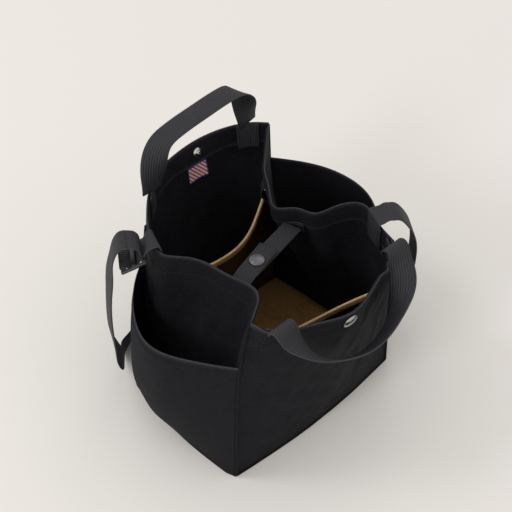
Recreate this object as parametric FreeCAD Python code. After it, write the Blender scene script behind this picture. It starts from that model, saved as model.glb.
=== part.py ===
import FreeCAD
import Part
import math
import os
from FreeCAD import Vector

# Body of the bag. X runs along the front panel, which faces -Y, and the bag stands on z = 0.
base_width = 216.0
base_depth = 170.0
panel_height = 203.0
canvas = 1.6
clearance = 0.3
liner_thickness = 1.2
wall_swell = 7.0
wall_levels = (0.0, 0.2, 0.4, 0.6, 0.8, 1.0)
rim_stations = 21

# How far each corner of the rim has moved from the base corner under it
front_left_lean = (26.0, 6.0)
front_right_lean = (-20.0, -8.0)
back_right_lean = (16.0, 28.0)
back_left_lean = (42.0, -1.0)
back_left_tuck = 6.0

# Rim of each wall between its corners: share of the base line, and distance outside it
front_rim = ((0.13, 11.0), (0.29, 32.0), (0.48, 46.0), (0.66, 37.0), (0.83, 21.0))
right_rim = ((0.12, -12.0), (0.25, -5.0), (0.36, -24.0), (0.42, -44.0), (0.53, -50.0),
             (0.63, -61.0), (0.75, -50.0), (0.86, -38.0), (0.98, -18.0))
back_rim = ((-0.02, 46.0), (0.08, 61.0), (0.21, 68.0), (0.37, 65.0), (0.54, 53.0), (0.67, 32.0))
left_rim = ((0.15, -28.0), (0.27, -25.0), (0.36, -40.0), (0.45, -50.0), (0.56, -54.0),
            (0.67, -60.0), (0.75, -63.0), (0.83, -56.0), (0.9, -41.0))

# Rim facing inside the mouth
facing_depth = 22.0
facing_cloth = 0.8
facing_gap = 0.25
facing_end = 0.012
sewn_depth = canvas + facing_gap + facing_cloth + 0.3

# Pockets
pocket_cloth = 1.2
outer_pocket_height = 160.0
outer_pocket_sag = 9.0
left_pocket_belly = 42.0
left_pocket_skew = 0.8
right_pocket_belly = 50.0
right_pocket_skew = 1.25
front_inner_pocket_height = 128.0
back_inner_pocket_height = 142.0
inner_pocket_sag = 24.0
front_inner_pocket_belly = 34.0
back_inner_pocket_belly = 30.0

# Webbing
webbing_width = 25.4
webbing_thickness = 1.6
webbing_stations = 15
sewn_length = 27.0
handle_gap = 0.9
front_handle_gap = 1.4
back_handle_gap = 0.45

# Back handle, standing over the rim
back_handle_seats = (0.10, 0.80)
back_handle_leg = ((0.0, 0.0, 0.0), (1.0, 8.0, 4.0), (4.0, 26.0, 35.0), (9.0, 42.0, 65.0),
                   (17.0, 52.0, 84.0),
                   (32.0, 56.0, 90.0))
back_handle_sag = -1.0

# Front handle, fallen outwards over the rim
front_handle_seats = (0.14, 0.93)
front_handle_reach = 64.0
front_handle_fall = 42.0
front_handle_curve = ((14.0, 18.5, 10.0), (28.0, 14.0, 34.0), (46.0, 8.0, 64.0), (68.0, 2.0, 86.0),
                      (90.0, 0.0, 90.0), (112.0, 2.0, 86.0), (134.0, 8.0, 64.0),
                      (152.0, 14.0, 34.0), (166.0, 18.5, 10.0))

# Closure strap across the mouth, and its snap
closure_width = 20.0
closure_thickness = 1.4
closure_drop = 19.0
closure_left_seat = 0.62
closure_right_seat = 0.47
closure_seat = 13.0
closure_middle = (-10.0, -10.5, 175.4)
closure_cap_tail = 23.0
closure_stud_tail = 15.0
snap_pitch = 3.4
cap_radius = 7.6
cap_height = 2.6
socket_radius = 5.6
stud_radius = 2.4
stud_fit = 0.3
post_radius = 4.6
rim_snap_drop = 12.0
rim_snap_front_seat = 0.49
rim_snap_back_seat = 0.37

# Shoulder strap and its slider
strap_left_pivot = Vector(-102.2, 68.5, 213.0)
strap_right_pivot = Vector(104.0, -75.0, 214.0)
slider_width = 34.0
slider_length = 27.0
slider_thickness = 3.2
slider_bar = 5.0
slot_width = 27.0
slider_tilt = 25.0
slider_centre = Vector(-98.2, 66.3, 190.0)
buckle_seat = 0.16
strap_end_seat = 0.10
strap_path = (((-134.0, -2.2, 206.0), "side"), ((-137.2, -2.3, 192.0), "side"), ((-137.6, -2.5, 174.0), "side"),
              ((-138.0, -3.0, 155.0), "side"), ((-140.0, -2.0, 115.0), "side"), ((-140.0, 0.0, 70.0), "side"),
              ((-140.0, 4.0, 43.0), "turn"), ((-139.5, 16.0, 24.5), "turn"), ((-138.0, 36.0, 15.0), "up"),
              ((-110.0, 78.0, 15.0), "up"), ((-70.0, 122.0, 15.0), "up"), ((-20.0, 160.0, 15.0), "up"),
              ((35.0, 176.0, 15.0), "up"), ((82.0, 172.0, 15.0), "up"), ((125.0, 148.0, 15.0), "up"),
              ((148.0, 108.0, 15.0), "up"), ((153.0, 62.0, 16.2), "up"), ((154.0, 40.0, 25.5), "turn"),
              ((154.5, 28.0, 45.0), "turn"), ((156.0, 22.0, 72.0), "side"), ((157.0, 12.0, 115.0), "side"),
              ((156.0, 2.0, 155.0), "side"), ((151.0, -2.0, 188.0), "side"), ((141.0, -2.5, 207.0), "side"))

# Small sewn pieces
loop_width = 20.0
loop_bulge = 9.0
loop_seat = 0.84
loop_drop = 36.0
loop_length = 42.0
label_width = 28.0
label_height = 18.0
label_thickness = 0.6
label_drop = 32.0
label_seat = 0.385


def plain(level):
    """Lean that grows evenly with height."""
    return level


def pinched(level):
    """Lean that starts at the base and ends upright at the rim."""
    return level * level * (3.0 - 2.0 * level)


def collared(level):
    """Lean that waits for the part above the outer pockets."""
    return 0.15 * level + 0.85 * level ** 6


class Corner:
    """One corner seam, from the base to the rim."""

    def __init__(self, side_x, side_y, lean, profile, tuck=0.0):
        self.side = Vector(side_x, side_y, 0.0)
        self.base = Vector(side_x * (base_width / 2.0 - tuck), side_y * (base_depth / 2.0 - tuck), 0.0)
        self.lean = Vector(lean[0] - side_x * -tuck, lean[1] - side_y * -tuck, 0.0)
        self.profile = profile
        self.rim_z = math.sqrt(panel_height ** 2 - self.lean.Length ** 2)

    def point(self, level, depth=0.0):
        """Point of the seam at a share of its height, at a depth inside the outer face."""
        place = self.base + self.lean * self.profile(level) - self.side * depth
        return Vector(place.x, place.y, level * self.rim_z)


front_left = Corner(-1, -1, front_left_lean, collared)
front_right = Corner(1, -1, front_right_lean, plain)
back_right = Corner(1, 1, back_right_lean, plain)
back_left = Corner(-1, 1, back_left_lean, plain, back_left_tuck)


class Wall:
    """One side of the bag, between two corner seams, seen as a leaning sheet."""

    def __init__(self, start, end, rim, profile):
        self.start = start
        self.end = end
        self.profile = profile
        along = Vector(end.side.x - start.side.x, end.side.y - start.side.y, 0.0)
        along.normalize()
        self.along = along
        self.out = Vector(along.y, -along.x, 0.0)
        base_line = base_width if abs(along.x) > 0.5 else base_depth
        corner = Vector(start.side.x * base_width / 2.0, start.side.y * base_depth / 2.0, 0.0)
        rim_points = [start.point(1.0)]
        for share, distance in rim:
            rim_points.append(corner + along * (share * base_line) + self.out * distance)
        rim_points.append(end.point(1.0))
        curve = Part.BSplineCurve()
        curve.interpolate([Vector(point.x, point.y, 0.0) for point in rim_points])
        self.rim = curve.discretize(Number=rim_stations)
        self.outer = sheet(self.grid(0.0))
        self.inner = sheet(self.grid(canvas))
        self.sign = math.copysign(1.0, self.outer.normal(0.5, 0.5).dot(self.out))

    def outer_point(self, station, level):
        """Point of the outer face at one station of the rim and a share of the height."""
        if station == 0:
            return self.start.point(level)
        if station == len(self.rim) - 1:
            return self.end.point(level)
        share = station / (rim_stations - 1)
        middle = math.sin(math.pi * share)
        base = self.start.base * (1.0 - share) + self.end.base * share
        base += self.out * (wall_swell * middle)
        ends = (1.0 - share) * self.start.profile(level) + share * self.end.profile(level)
        lean = (1.0 - middle) * ends + middle * self.profile(level)
        rim = self.rim[station]
        height = math.sqrt(panel_height ** 2 - (rim - base).Length ** 2)
        place = base + (rim - base) * lean
        return Vector(place.x, place.y, level * height)

    def point(self, station, level, depth):
        """Point at a depth inside the outer face. Ends are mitred against the next wall."""
        if station == 0:
            return self.start.point(level, depth)
        if station == len(self.rim) - 1:
            return self.end.point(level, depth)
        before = self.outer_point(station - 1, level)
        after = self.outer_point(station + 1, level)
        run = Vector(after.x - before.x, after.y - before.y, 0.0)
        run.normalize()
        return self.outer_point(station, level) - Vector(run.y, -run.x, 0.0) * depth

    def grid(self, depth, levels=wall_levels):
        """Points of the sheet at one depth, a row for each station."""
        return [[self.point(station, level, depth) for level in levels] for station in range(len(self.rim))]

    def skin(self):
        """Closed cloth of the wall."""
        return slab(self.grid(0.0), self.grid(canvas))

    def place(self, share, drop, depth):
        """Point at a share of the wall's length, a drop under the rim and a depth, and the outward normal."""
        face = self.outer if depth < canvas else self.inner
        level = 1.0 - drop / panel_height
        point = face.value(share, level)
        normal = face.normal(share, level) * self.sign
        flat = Vector(normal.x, normal.y, 0.0)
        flat.normalize()
        return point - flat * (depth if depth < canvas else depth - canvas), normal

    def direction(self, share, drop):
        """Horizontal direction of the wall at a share of its length."""
        before, _ = self.place(share - 0.02, drop, 0.0)
        after, _ = self.place(share + 0.02, drop, 0.0)
        run = Vector(after.x - before.x, after.y - before.y, 0.0)
        run.normalize()
        return run

    def patch(self, shares, drops, depth, thickness):
        """Piece of cloth that follows the wall's inner face."""
        grids = []
        for layer in (depth, depth + thickness):
            grids.append([[self.place(share, drop, layer)[0] for drop in drops] for share in shares])
        return slab(grids[0], grids[1])

    def strip_shares(self, share, width):
        """Shares of the wall's length across a strip of a given width."""
        before, _ = self.place(share - 0.02, 0.0, 0.0)
        after, _ = self.place(share + 0.02, 0.0, 0.0)
        half = width / 2.0 * 0.04 / (after - before).Length
        return [share + half * step for step in (-1.0, -0.5, 0.0, 0.5, 1.0)]

    def crest(self, share, width):
        """Middle of a strip's top at the rim, raised to the rim's highest point under the strip."""
        depth = sewn_depth + webbing_thickness / 2.0
        place, _ = self.place(share, 0.0, depth)
        top = max(self.place(part, 0.0, canvas)[0].z for part in self.strip_shares(share, width))
        return Vector(place.x, place.y, (top + place.z) / 2.0)


def sheet(grid):
    """Smooth surface through a grid of points."""
    surface = Part.BSplineSurface()
    surface.interpolate(grid)
    return surface


def borders(surface):
    """The four edges of a sheet."""
    return [surface.uIso(0.0), surface.uIso(1.0), surface.vIso(0.0), surface.vIso(1.0)]


def slab(front_grid, back_grid):
    """Closed solid between two matching grids of points."""
    front = sheet(front_grid)
    back = sheet(back_grid)
    faces = [front.toShape(), back.toShape()]
    for near, far in zip(borders(front), borders(back)):
        faces.append(Part.makeRuledSurface(near.toShape(), far.toShape()))
    shell = Part.makeShell(faces)
    shell.sewShape()
    solid = Part.makeSolid(shell)
    if solid.Volume < 0.0:
        solid.reverse()
    return solid


def evened(stations, count):
    """The same path with evenly spaced stations."""
    curve = Part.BSplineCurve()
    curve.interpolate([centre for centre, _ in stations])
    knots = [curve.parameter(centre) for centre, _ in stations]
    places = curve.discretize(Number=count)
    smooth = []
    segment = 0
    for place in places:
        value = curve.parameter(place)
        while segment < len(knots) - 2 and value > knots[segment + 1]:
            segment += 1
        share = (value - knots[segment]) / (knots[segment + 1] - knots[segment])
        share = min(max(share, 0.0), 1.0)
        way = stations[segment][1] * (1.0 - share) + stations[segment + 1][1] * share
        smooth.append((place, way))
    return smooth


def ribbon(stations, width, thickness):
    """Flat webbing through stations, each a centre and a rough width direction."""
    smooth = evened(stations, max(len(stations) + 6, webbing_stations))
    centres = [centre for centre, _ in smooth]
    sections = []
    for index, (centre, rough) in enumerate(smooth):
        run = centres[min(index + 1, len(centres) - 1)] - centres[max(index - 1, 0)]
        run.normalize()
        across = rough - run * rough.dot(run)
        across.normalize()
        face = run.cross(across) * (thickness / 2.0)
        left = centre - across * (width / 2.0)
        right = centre + across * (width / 2.0)
        sections.append(Part.makePolygon([left - face, right - face, right + face, left + face, left - face]))
    return Part.makeLoft(sections, True, True)


def turned(profile, place, axis):
    """Solid turned from (radius, height) corners about an axis through a place."""
    points = [Vector(radius, 0.0, height) for radius, height in profile]
    face = Part.Face(Part.makePolygon(points + [points[0]]))
    solid = face.revolve(Vector(0, 0, 0), Vector(0, 0, 1), 360)
    solid.Placement = FreeCAD.Placement(place, FreeCAD.Rotation(Vector(0, 0, 1), axis))
    return solid


def domed_cap(place, axis):
    """Domed snap cap with a rolled rim, standing on a cloth face."""
    rise = cap_height - 0.8
    sphere = (cap_radius ** 2 + rise ** 2) / (2.0 * rise)
    ball = Part.makeSphere(sphere, Vector(0, 0, cap_height - sphere))
    drum = Part.makeCylinder(cap_radius, cap_height, Vector(0, 0, 0))
    cap = ball.common(drum)
    cap.Placement = FreeCAD.Placement(place, FreeCAD.Rotation(Vector(0, 0, 1), axis))
    return cap


def snap_socket(place, axis, height):
    """Ring that takes the stud of a snap."""
    hole = stud_radius + stud_fit
    lip = socket_radius - 0.8
    return turned([(hole, 0.0), (socket_radius, 0.0), (socket_radius, 0.55 * height), (lip, height),
                   (hole, height)], place, axis)


def snap_stud(place, axis, height, flange=0.0):
    """Stud of a snap, waisted under its head, on a flange where it has room for one."""
    neck = stud_radius - 0.4
    profile = [(0.0, 0.0), (neck, 0.0), (neck, 0.35 * height), (stud_radius, 0.6 * height),
               (stud_radius - 0.3, height), (0.0, height)]
    if flange > 0.0:
        profile[1:2] = [(flange, 0.0), (flange, 0.4), (neck, 0.4)]
    return turned(profile, place, axis)


def snap_post(place, axis):
    """Low washer on the far side of the cloth behind a stud."""
    return turned([(1.2, 0.0), (post_radius, 0.0), (post_radius - 0.5, 0.8), (1.6, 0.8)], place, axis)


front_wall = Wall(front_left, front_right, front_rim, plain)
right_wall = Wall(front_right, back_right, right_rim, pinched)
back_wall = Wall(back_right, back_left, back_rim, plain)
left_wall = Wall(back_left, front_left, left_rim, pinched)
walls = {"front": front_wall, "right_side": right_wall, "back": back_wall, "left_side": left_wall}
parts = {}


def base_outline(inset):
    """Closed outline of the floor, a distance inside the outer faces of the walls."""
    edges = []
    for wall in (front_wall, right_wall, back_wall, left_wall):
        points = [row[0] for row in wall.grid(inset, (0.0,))]
        curve = Part.BSplineCurve()
        curve.interpolate(points)
        edges.append(curve.toShape())
    return Part.Face(Part.Wire(edges))


def make_body():
    """Four walls, the bottom and the liner over it."""
    for name, wall in walls.items():
        parts[name + "_panel"] = wall.skin()
    bottom = base_outline(canvas + clearance).extrude(Vector(0, 0, canvas))
    parts["bottom_panel"] = bottom
    liner = base_outline(canvas + 2.0 * clearance).extrude(Vector(0, 0, liner_thickness))
    liner.translate(Vector(0, 0, canvas + 0.1))
    parts["floor_liner"] = liner


def make_facings():
    """Strip folded and sewn inside the rim of each wall."""
    count = 2 * rim_stations + 1
    reach = 1.0 - 2.0 * facing_end
    shares = [facing_end + reach * station / (count - 1) for station in range(count)]
    drops = (facing_depth, facing_depth / 2.0, 0.0)
    for name, wall in walls.items():
        parts[name + "_rim_facing"] = wall.patch(shares, drops, canvas + facing_gap, facing_cloth)


def outer_pocket(wall, belly, skew):
    """Bellied pocket outside a side wall, open at the top."""
    columns = 15
    rises = (0.0, 0.15, 0.35, 0.6, 0.8, 1.0)
    grids = []
    for depth in (clearance + pocket_cloth, clearance):
        grid = []
        for column in range(columns):
            share = column / (columns - 1)
            crown = math.sin(math.pi * share ** skew)
            swell = wall_swell * math.sin(math.pi * share)
            row = []
            for rise in rises:
                level = rise * outer_pocket_height / panel_height
                start = wall.start.point(level)
                end = wall.end.point(level)
                fullness = 1.0 - (1.0 - rise) ** 3
                place = start * (1.0 - share) + end * share
                wall_offset = (wall.outer.value(share, level) - place).dot(wall.out)
                room = wall_offset + min(2.5, 45.0 * share * (1.0 - share))
                offset = max(swell + belly * crown * fullness, room)
                place += wall.out * (depth + offset)
                place.z -= outer_pocket_sag * crown * rise
                row.append(place)
            grid.append(row)
        grids.append(grid)
    return slab(grids[0], grids[1])


def inner_pocket(wall, height, belly):
    """Open pocket inside a wall, standing on the liner, its mouth hanging into the bag."""
    columns = 9
    rises = (0.0, 0.25, 0.5, 0.75, 1.0)
    floor = canvas + liner_thickness + 2.0 * clearance
    grids = []
    for depth in (canvas + clearance, canvas + clearance + pocket_cloth):
        grid = []
        for column in range(columns):
            share = column / (columns - 1)
            crown = math.sin(math.pi * share)
            row = []
            for rise in rises:
                level = rise * height / panel_height
                start = wall.start.point(level, depth)
                end = wall.end.point(level, depth)
                place = start * (1.0 - share) + end * share
                place -= wall.out * (belly * crown * rise ** 0.7)
                place.z += floor * (1.0 - rise) - inner_pocket_sag * crown * rise
                row.append(place)
            grid.append(row)
        grids.append(grid)
    return slab(grids[0], grids[1])


def make_pockets():
    """Two open pockets outside the side walls and two inside the front and back walls."""
    parts["left_outer_pocket"] = outer_pocket(left_wall, left_pocket_belly, left_pocket_skew)
    parts["right_outer_pocket"] = outer_pocket(right_wall, right_pocket_belly, right_pocket_skew)
    parts["front_inner_pocket"] = inner_pocket(front_wall, front_inner_pocket_height,
                                               front_inner_pocket_belly)
    parts["back_inner_pocket"] = inner_pocket(back_wall, back_inner_pocket_height, back_inner_pocket_belly)


def sewn_end(wall, share, gap=handle_gap):
    """Webbing end sewn flat over the facing, and where its webbing leaves the rim."""
    drops = (sewn_length, sewn_length / 2.0, 0.0)
    end = wall.patch(wall.strip_shares(share, webbing_width), drops, sewn_depth, webbing_thickness)
    return end, wall.crest(share, webbing_width) + Vector(0, 0, gap)


def handle_seats(wall, shares, gap, name):
    """Two sewn ends of a handle, kept as one node, and the seats of its webbing over them."""
    ends = [sewn_end(wall, share, gap) for share in shares]
    parts[name + "_ends"] = Part.makeCompound([end for end, _ in ends])
    return [seat for _, seat in ends]


def twisted(start_way, end_way, degrees):
    """Width direction part way through a quarter turn of the webbing."""
    turn = math.radians(degrees)
    return start_way * math.cos(turn) + end_way * math.sin(turn)


def make_back_handle():
    """Standing handle: the legs leave the rim flat and turn into the top run."""
    seats = handle_seats(back_wall, back_handle_seats, back_handle_gap, "back_handle")
    span = seats[1] - seats[0]
    length = span.Length
    span.normalize()
    up = Vector(0, 0, 1)
    side = span.cross(up)
    stations = []
    for across, rise, degrees in back_handle_leg:
        place = seats[0] + span * across + up * rise
        stations.append((place, twisted(span, side, degrees)))
    top = back_handle_leg[-1][1]
    sag = Vector(0, 0, back_handle_sag)
    for share in (0.35, 0.5, 0.65):
        place = seats[0] + span * (share * length) + up * top - sag
        stations.append((place, side))
    for across, rise, degrees in reversed(back_handle_leg):
        place = seats[1] - span * across + up * rise
        stations.append((place, twisted(span, side, degrees)))
    parts["back_handle"] = ribbon(stations, webbing_width, webbing_thickness)


def make_front_handle():
    """Fallen handle: over the rim and down outside the front wall."""
    seats = handle_seats(front_wall, front_handle_seats, front_handle_gap, "front_handle")
    span = seats[1] - seats[0]
    length = span.Length
    span.normalize()
    fall = math.radians(front_handle_fall)
    outward = Vector(span.y, -span.x, 0.0)
    reach_way = outward * math.cos(fall) - Vector(0, 0, math.sin(fall))
    face_way = span.cross(reach_way)
    middle = (seats[0] + seats[1]) * 0.5
    folds = ((0.0, 0.0, 0.0), (0.6, 6.0, 0.0), (7.0, 13.0, 0.0))
    stations = [(seats[0] + outward * out + Vector(0, 0, lift), span) for out, lift, _ in folds]
    for angle, lift, degrees in front_handle_curve:
        turn = math.radians(angle)
        reach = math.sin(turn) ** 0.85 * front_handle_reach
        place = middle - span * (math.cos(turn) * length / 2.0) + reach_way * reach + Vector(0, 0, lift)
        stations.append((place, twisted(span if angle < 90.0 else -span, face_way, degrees)))
    stations += [(seats[1] + outward * out + Vector(0, 0, lift), -span) for out, lift, _ in reversed(folds)]
    parts["front_handle"] = ribbon(stations, webbing_width, webbing_thickness)


def make_closure():
    """Snap strap across the mouth: a cap half over a stud half, each from its own sewn seat."""
    middle = Vector(closure_middle)
    halves = (("cap", left_wall, closure_left_seat, snap_pitch, closure_cap_tail),
              ("stud", right_wall, closure_right_seat, 0.0, closure_stud_tail))
    drops = (closure_drop + closure_seat, closure_drop + closure_seat / 2.0, closure_drop)
    for name, wall, share, lift, tail_length in halves:
        shares = wall.strip_shares(share, closure_width)
        parts["closure_" + name + "_seat"] = wall.patch(shares, drops, sewn_depth, closure_thickness)
        level = middle + Vector(0, 0, lift)
        seat, _ = wall.place(share, closure_drop + 1.0, sewn_depth + closure_thickness)
        run = Vector(level.x - seat.x, level.y - seat.y, 0.0)
        run.normalize()
        across = Vector(-run.y, run.x, 0.0)
        faces = [wall.place(part, closure_drop + 1.0, sewn_depth + closure_thickness)[0] for part in shares]
        start = seat + run * (max((place - seat).dot(run) for place in faces) + 0.6)
        stations = [(start, across), (level - run * 16.0, across), (level - run * 8.0, across),
                    (level, across), (level + run * (tail_length / 2.0), across),
                    (level + run * tail_length, across)]
        parts["closure_" + name + "_strap"] = ribbon(stations, closure_width, closure_thickness)
    up = Vector(0, 0, 1)
    half = closure_thickness / 2.0 + 0.1
    space = snap_pitch - closure_thickness
    cap_seat = middle + up * (snap_pitch + half)
    parts["closure_snap_cap"] = domed_cap(cap_seat, up)
    parts["closure_snap_socket"] = snap_socket(middle + up * (snap_pitch - half), -up, space - 0.9)
    parts["closure_snap_stud"] = snap_stud(middle + up * half, up, space - 0.4, 4.4)
    parts["closure_snap_post"] = snap_post(middle - up * half, -up)


def make_rim_snap():
    """Snap that closes the rim: its cap on the front wall and its stud inside the back wall."""
    inner = sewn_depth
    place, normal = front_wall.place(rim_snap_front_seat, rim_snap_drop, -0.15)
    parts["rim_snap_cap"] = domed_cap(place, normal)
    place, normal = front_wall.place(rim_snap_front_seat, rim_snap_drop, inner)
    parts["rim_snap_socket"] = snap_socket(place, -normal, 2.4)
    place, normal = back_wall.place(rim_snap_back_seat, rim_snap_drop, inner)
    parts["rim_snap_stud"] = snap_stud(place, -normal, 3.0, socket_radius)
    place, normal = back_wall.place(rim_snap_back_seat, rim_snap_drop, -0.15)
    parts["rim_snap_post"] = snap_post(place, normal)


def make_label():
    """Small woven label sewn inside the back wall."""
    drops = (label_drop + label_height / 2.0, label_drop, label_drop - label_height / 2.0)
    shares = back_wall.strip_shares(label_seat, label_width)
    parts["woven_label"] = back_wall.patch(shares, drops, canvas + 0.1, label_thickness)


def make_tool_loop():
    """Loop of webbing for a hand tool, sewn above and below inside the right wall."""
    shares = right_wall.strip_shares(loop_seat, loop_width)
    heights = [1.0 - step / 8.0 for step in range(9)]
    grids = []
    for layer in (canvas + 0.6, canvas + 0.6 + closure_thickness):
        grids.append([[right_wall.place(share, loop_drop + loop_length * height,
                                        layer + loop_bulge * math.sin(math.pi * height) ** 2)[0]
                       for height in heights] for share in shares])
    parts["tool_loop"] = slab(grids[0], grids[1])


def strap_place(along, across, height):
    """Point given along and across the line between the two ends of the shoulder strap."""
    line = strap_right_pivot - strap_left_pivot
    line = Vector(line.x, line.y, 0.0)
    line.normalize()
    return line * along + Vector(-line.y, line.x, 0.0) * across + Vector(0, 0, height)


def make_slider():
    """Three-bar slider beside the rim, the webbing that holds it and the lead of the strap over it."""
    side = strap_place(0.0, 1.0, 0.0)
    tilt = math.radians(slider_tilt)
    down = strap_place(-math.cos(tilt), 0.0, -math.sin(tilt))
    plate = Part.makeBox(slider_length, slider_width, slider_thickness,
                         Vector(-slider_length / 2.0, -slider_width / 2.0, -slider_thickness / 2.0))
    plate = plate.makeChamfer(slider_thickness * 0.2, plate.Edges)
    gap = (slider_length - 3.0 * slider_bar) / 2.0
    rail = (slider_width - slot_width) / 2.0
    for corner in (-slider_length / 2.0 + slider_bar, slider_bar / 2.0):
        plate = plate.cut(Part.makeBox(gap, slot_width, 2.0 * slider_thickness,
                                       Vector(corner, -slider_width / 2.0 + rail, -slider_thickness)))
    turn = FreeCAD.Rotation(down, side, down.cross(side), "XYZ")
    plate.Placement = FreeCAD.Placement(slider_centre, turn)
    parts["strap_slider"] = plate
    inner_bar = slider_centre - down * (slider_length / 2.0 - slider_bar / 2.0)
    lift = slider_thickness / 2.0 + webbing_thickness / 2.0 + 1.0
    end, crest = sewn_end(left_wall, buckle_seat)
    parts["buckle_loop_end"] = end
    out = strap_place(-1.0, 0.0, 0.0)
    seat = crest + Vector(0, 0, handle_gap)
    bar_top = inner_bar + Vector(0, 0, lift)
    wall_way = -left_wall.direction(buckle_seat, 0.0)
    stations = [(seat, wall_way), (seat + Vector(0, 0, 4.0) + out * 1.0, wall_way),
                (seat * 0.45 + bar_top * 0.55 + Vector(0, 0, 6.0), side), (bar_top, side)]
    parts["buckle_loop"] = ribbon(stations, webbing_width, webbing_thickness)
    left = strap_left_pivot
    start = bar_top + Vector(0, 0, webbing_thickness + 0.3) + out * 2.5
    stations = [(start, side), (start + out * 1.5 + Vector(0, 0, 7.0), side),
                (left - out * 6.0 - Vector(0, 0, 1.5), side), (left - out * 1.6, side)]
    parts["shoulder_strap_lead"] = ribbon(stations, webbing_width, webbing_thickness)


def make_shoulder_strap():
    """Long strap lying behind the bag, and its end sewn inside the right wall."""
    side = strap_place(0.0, 1.0, 0.0)
    up = Vector(0, 0, 1)
    ways = {"side": side, "up": up, "turn": side + up}
    stations = [(strap_place(*place), ways[way]) for place, way in strap_path]
    stations.insert(0, (strap_left_pivot, side))
    stations.insert(1, (strap_left_pivot + strap_place(-5.0, 0.0, -0.3), side))
    stations.append((strap_right_pivot + strap_place(5.0, 0.0, -0.3), side))
    stations.append((strap_right_pivot, side))
    parts["shoulder_strap"] = ribbon(stations, webbing_width, webbing_thickness)
    end, crest = sewn_end(right_wall, strap_end_seat)
    parts["shoulder_strap_seat"] = end
    seat = crest + Vector(0, 0, handle_gap)
    back = strap_place(-1.0, 0.0, 0.0)
    wall_way = right_wall.direction(strap_end_seat, 0.0)
    pivot = strap_right_pivot
    rows = [(seat, wall_way), (seat + Vector(0, 0, 4.0), wall_way),
            ((seat + pivot) * 0.5 + Vector(0, 0, 3.0), side), (pivot + back * 5.0 + Vector(0, 0, -0.3),
            side),
            (pivot + back * 1.3, side)]
    parts["shoulder_strap_end"] = ribbon(rows, webbing_width, webbing_thickness)


if __name__ == "__main__":
    make_body()
    make_facings()
    make_pockets()
    make_back_handle()
    make_front_handle()
    make_closure()
    make_rim_snap()
    make_label()
    make_tool_loop()
    make_slider()
    make_shoulder_strap()
    os.makedirs("parts", exist_ok=True)
    for name, shape in parts.items():
        shape.exportStep("parts/" + name + ".step")
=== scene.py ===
"""Looks of the garden tool bag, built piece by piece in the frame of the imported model."""
import logging
import math
from dataclasses import dataclass
from enum import Enum

import bmesh
import bpy
import numpy as np
from mathutils import Matrix, Vector


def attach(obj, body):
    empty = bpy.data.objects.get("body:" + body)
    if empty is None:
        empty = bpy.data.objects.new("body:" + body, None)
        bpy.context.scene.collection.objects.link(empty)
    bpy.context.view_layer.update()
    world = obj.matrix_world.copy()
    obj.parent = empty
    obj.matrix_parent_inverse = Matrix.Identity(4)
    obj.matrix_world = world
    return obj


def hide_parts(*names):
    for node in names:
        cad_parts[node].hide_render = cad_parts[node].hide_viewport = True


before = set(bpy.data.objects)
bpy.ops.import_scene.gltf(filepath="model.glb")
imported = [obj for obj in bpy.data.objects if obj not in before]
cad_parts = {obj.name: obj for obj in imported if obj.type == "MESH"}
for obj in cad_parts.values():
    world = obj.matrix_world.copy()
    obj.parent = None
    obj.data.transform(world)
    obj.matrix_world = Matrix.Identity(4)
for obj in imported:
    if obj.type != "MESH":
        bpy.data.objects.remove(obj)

log = logging.getLogger("tool_bag")
MM = 0.001

# Sizes of the bag, in millimetres
BASE_WIDTH = 216.0
BASE_DEPTH = 170.0
PANEL_HEIGHT = 203.0
CANVAS = 1.6
WALL_SWELL = 7.0
FACING_DEPTH = 22.0
FACING_CLOTH = 0.8
SEWN_DEPTH = 2.95
POCKET_CLOTH = 1.2
BINDING_WIDTH = 7.0
WEBBING = 25.4
WEBBING_THICKNESS = 1.6
CLOSURE = 20.0
CLOSURE_THICKNESS = 1.4
FACING_GAP = 0.25
POCKET_GAP = 0.3
OUTER_POCKET_HEIGHT = 160.0
MOUTH_DIP = 9.0
MOUTH_SAG = 24.0
LINER = 1.2
SEWN_DROPS = (27.0, 0.2)
SEWN_STITCHES = (27.0, 4.0)
THREAD_LIFT = 0.15
UP = np.array((0.0, 0.0, 1.0))
LEFT_PIVOT = np.array((-102.2, 68.5, 213.0))
RIGHT_PIVOT = np.array((104.0, -75.0, 214.0))


class Body(str, Enum):
    """Bodies of the frame that pieces ride on."""

    BAG = "bag"
    FRONT_HANDLE = "front_handle"
    BACK_HANDLE = "back_handle"
    CAP_HALF = "closure_cap_half"
    STUD_HALF = "closure_stud_half"
    STRAP = "shoulder_strap"


class Hang(Enum):
    """How a wall leans between its base and its rim."""

    PLAIN = "plain"
    PINCHED = "pinched"
    COLLARED = "collared"

    def share(self, level: float) -> float:
        """Share of the whole lean that is reached at a level.

        Args:
            level: Share of the height, from 0 to 1.

        Returns:
            Share of the lean, from 0 to 1.
        """
        if self is Hang.PINCHED:
            return level * level * (3.0 - 2.0 * level)
        if self is Hang.COLLARED:
            return 0.15 * level + 0.85 * level ** 6
        return level


# Shader maths


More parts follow.
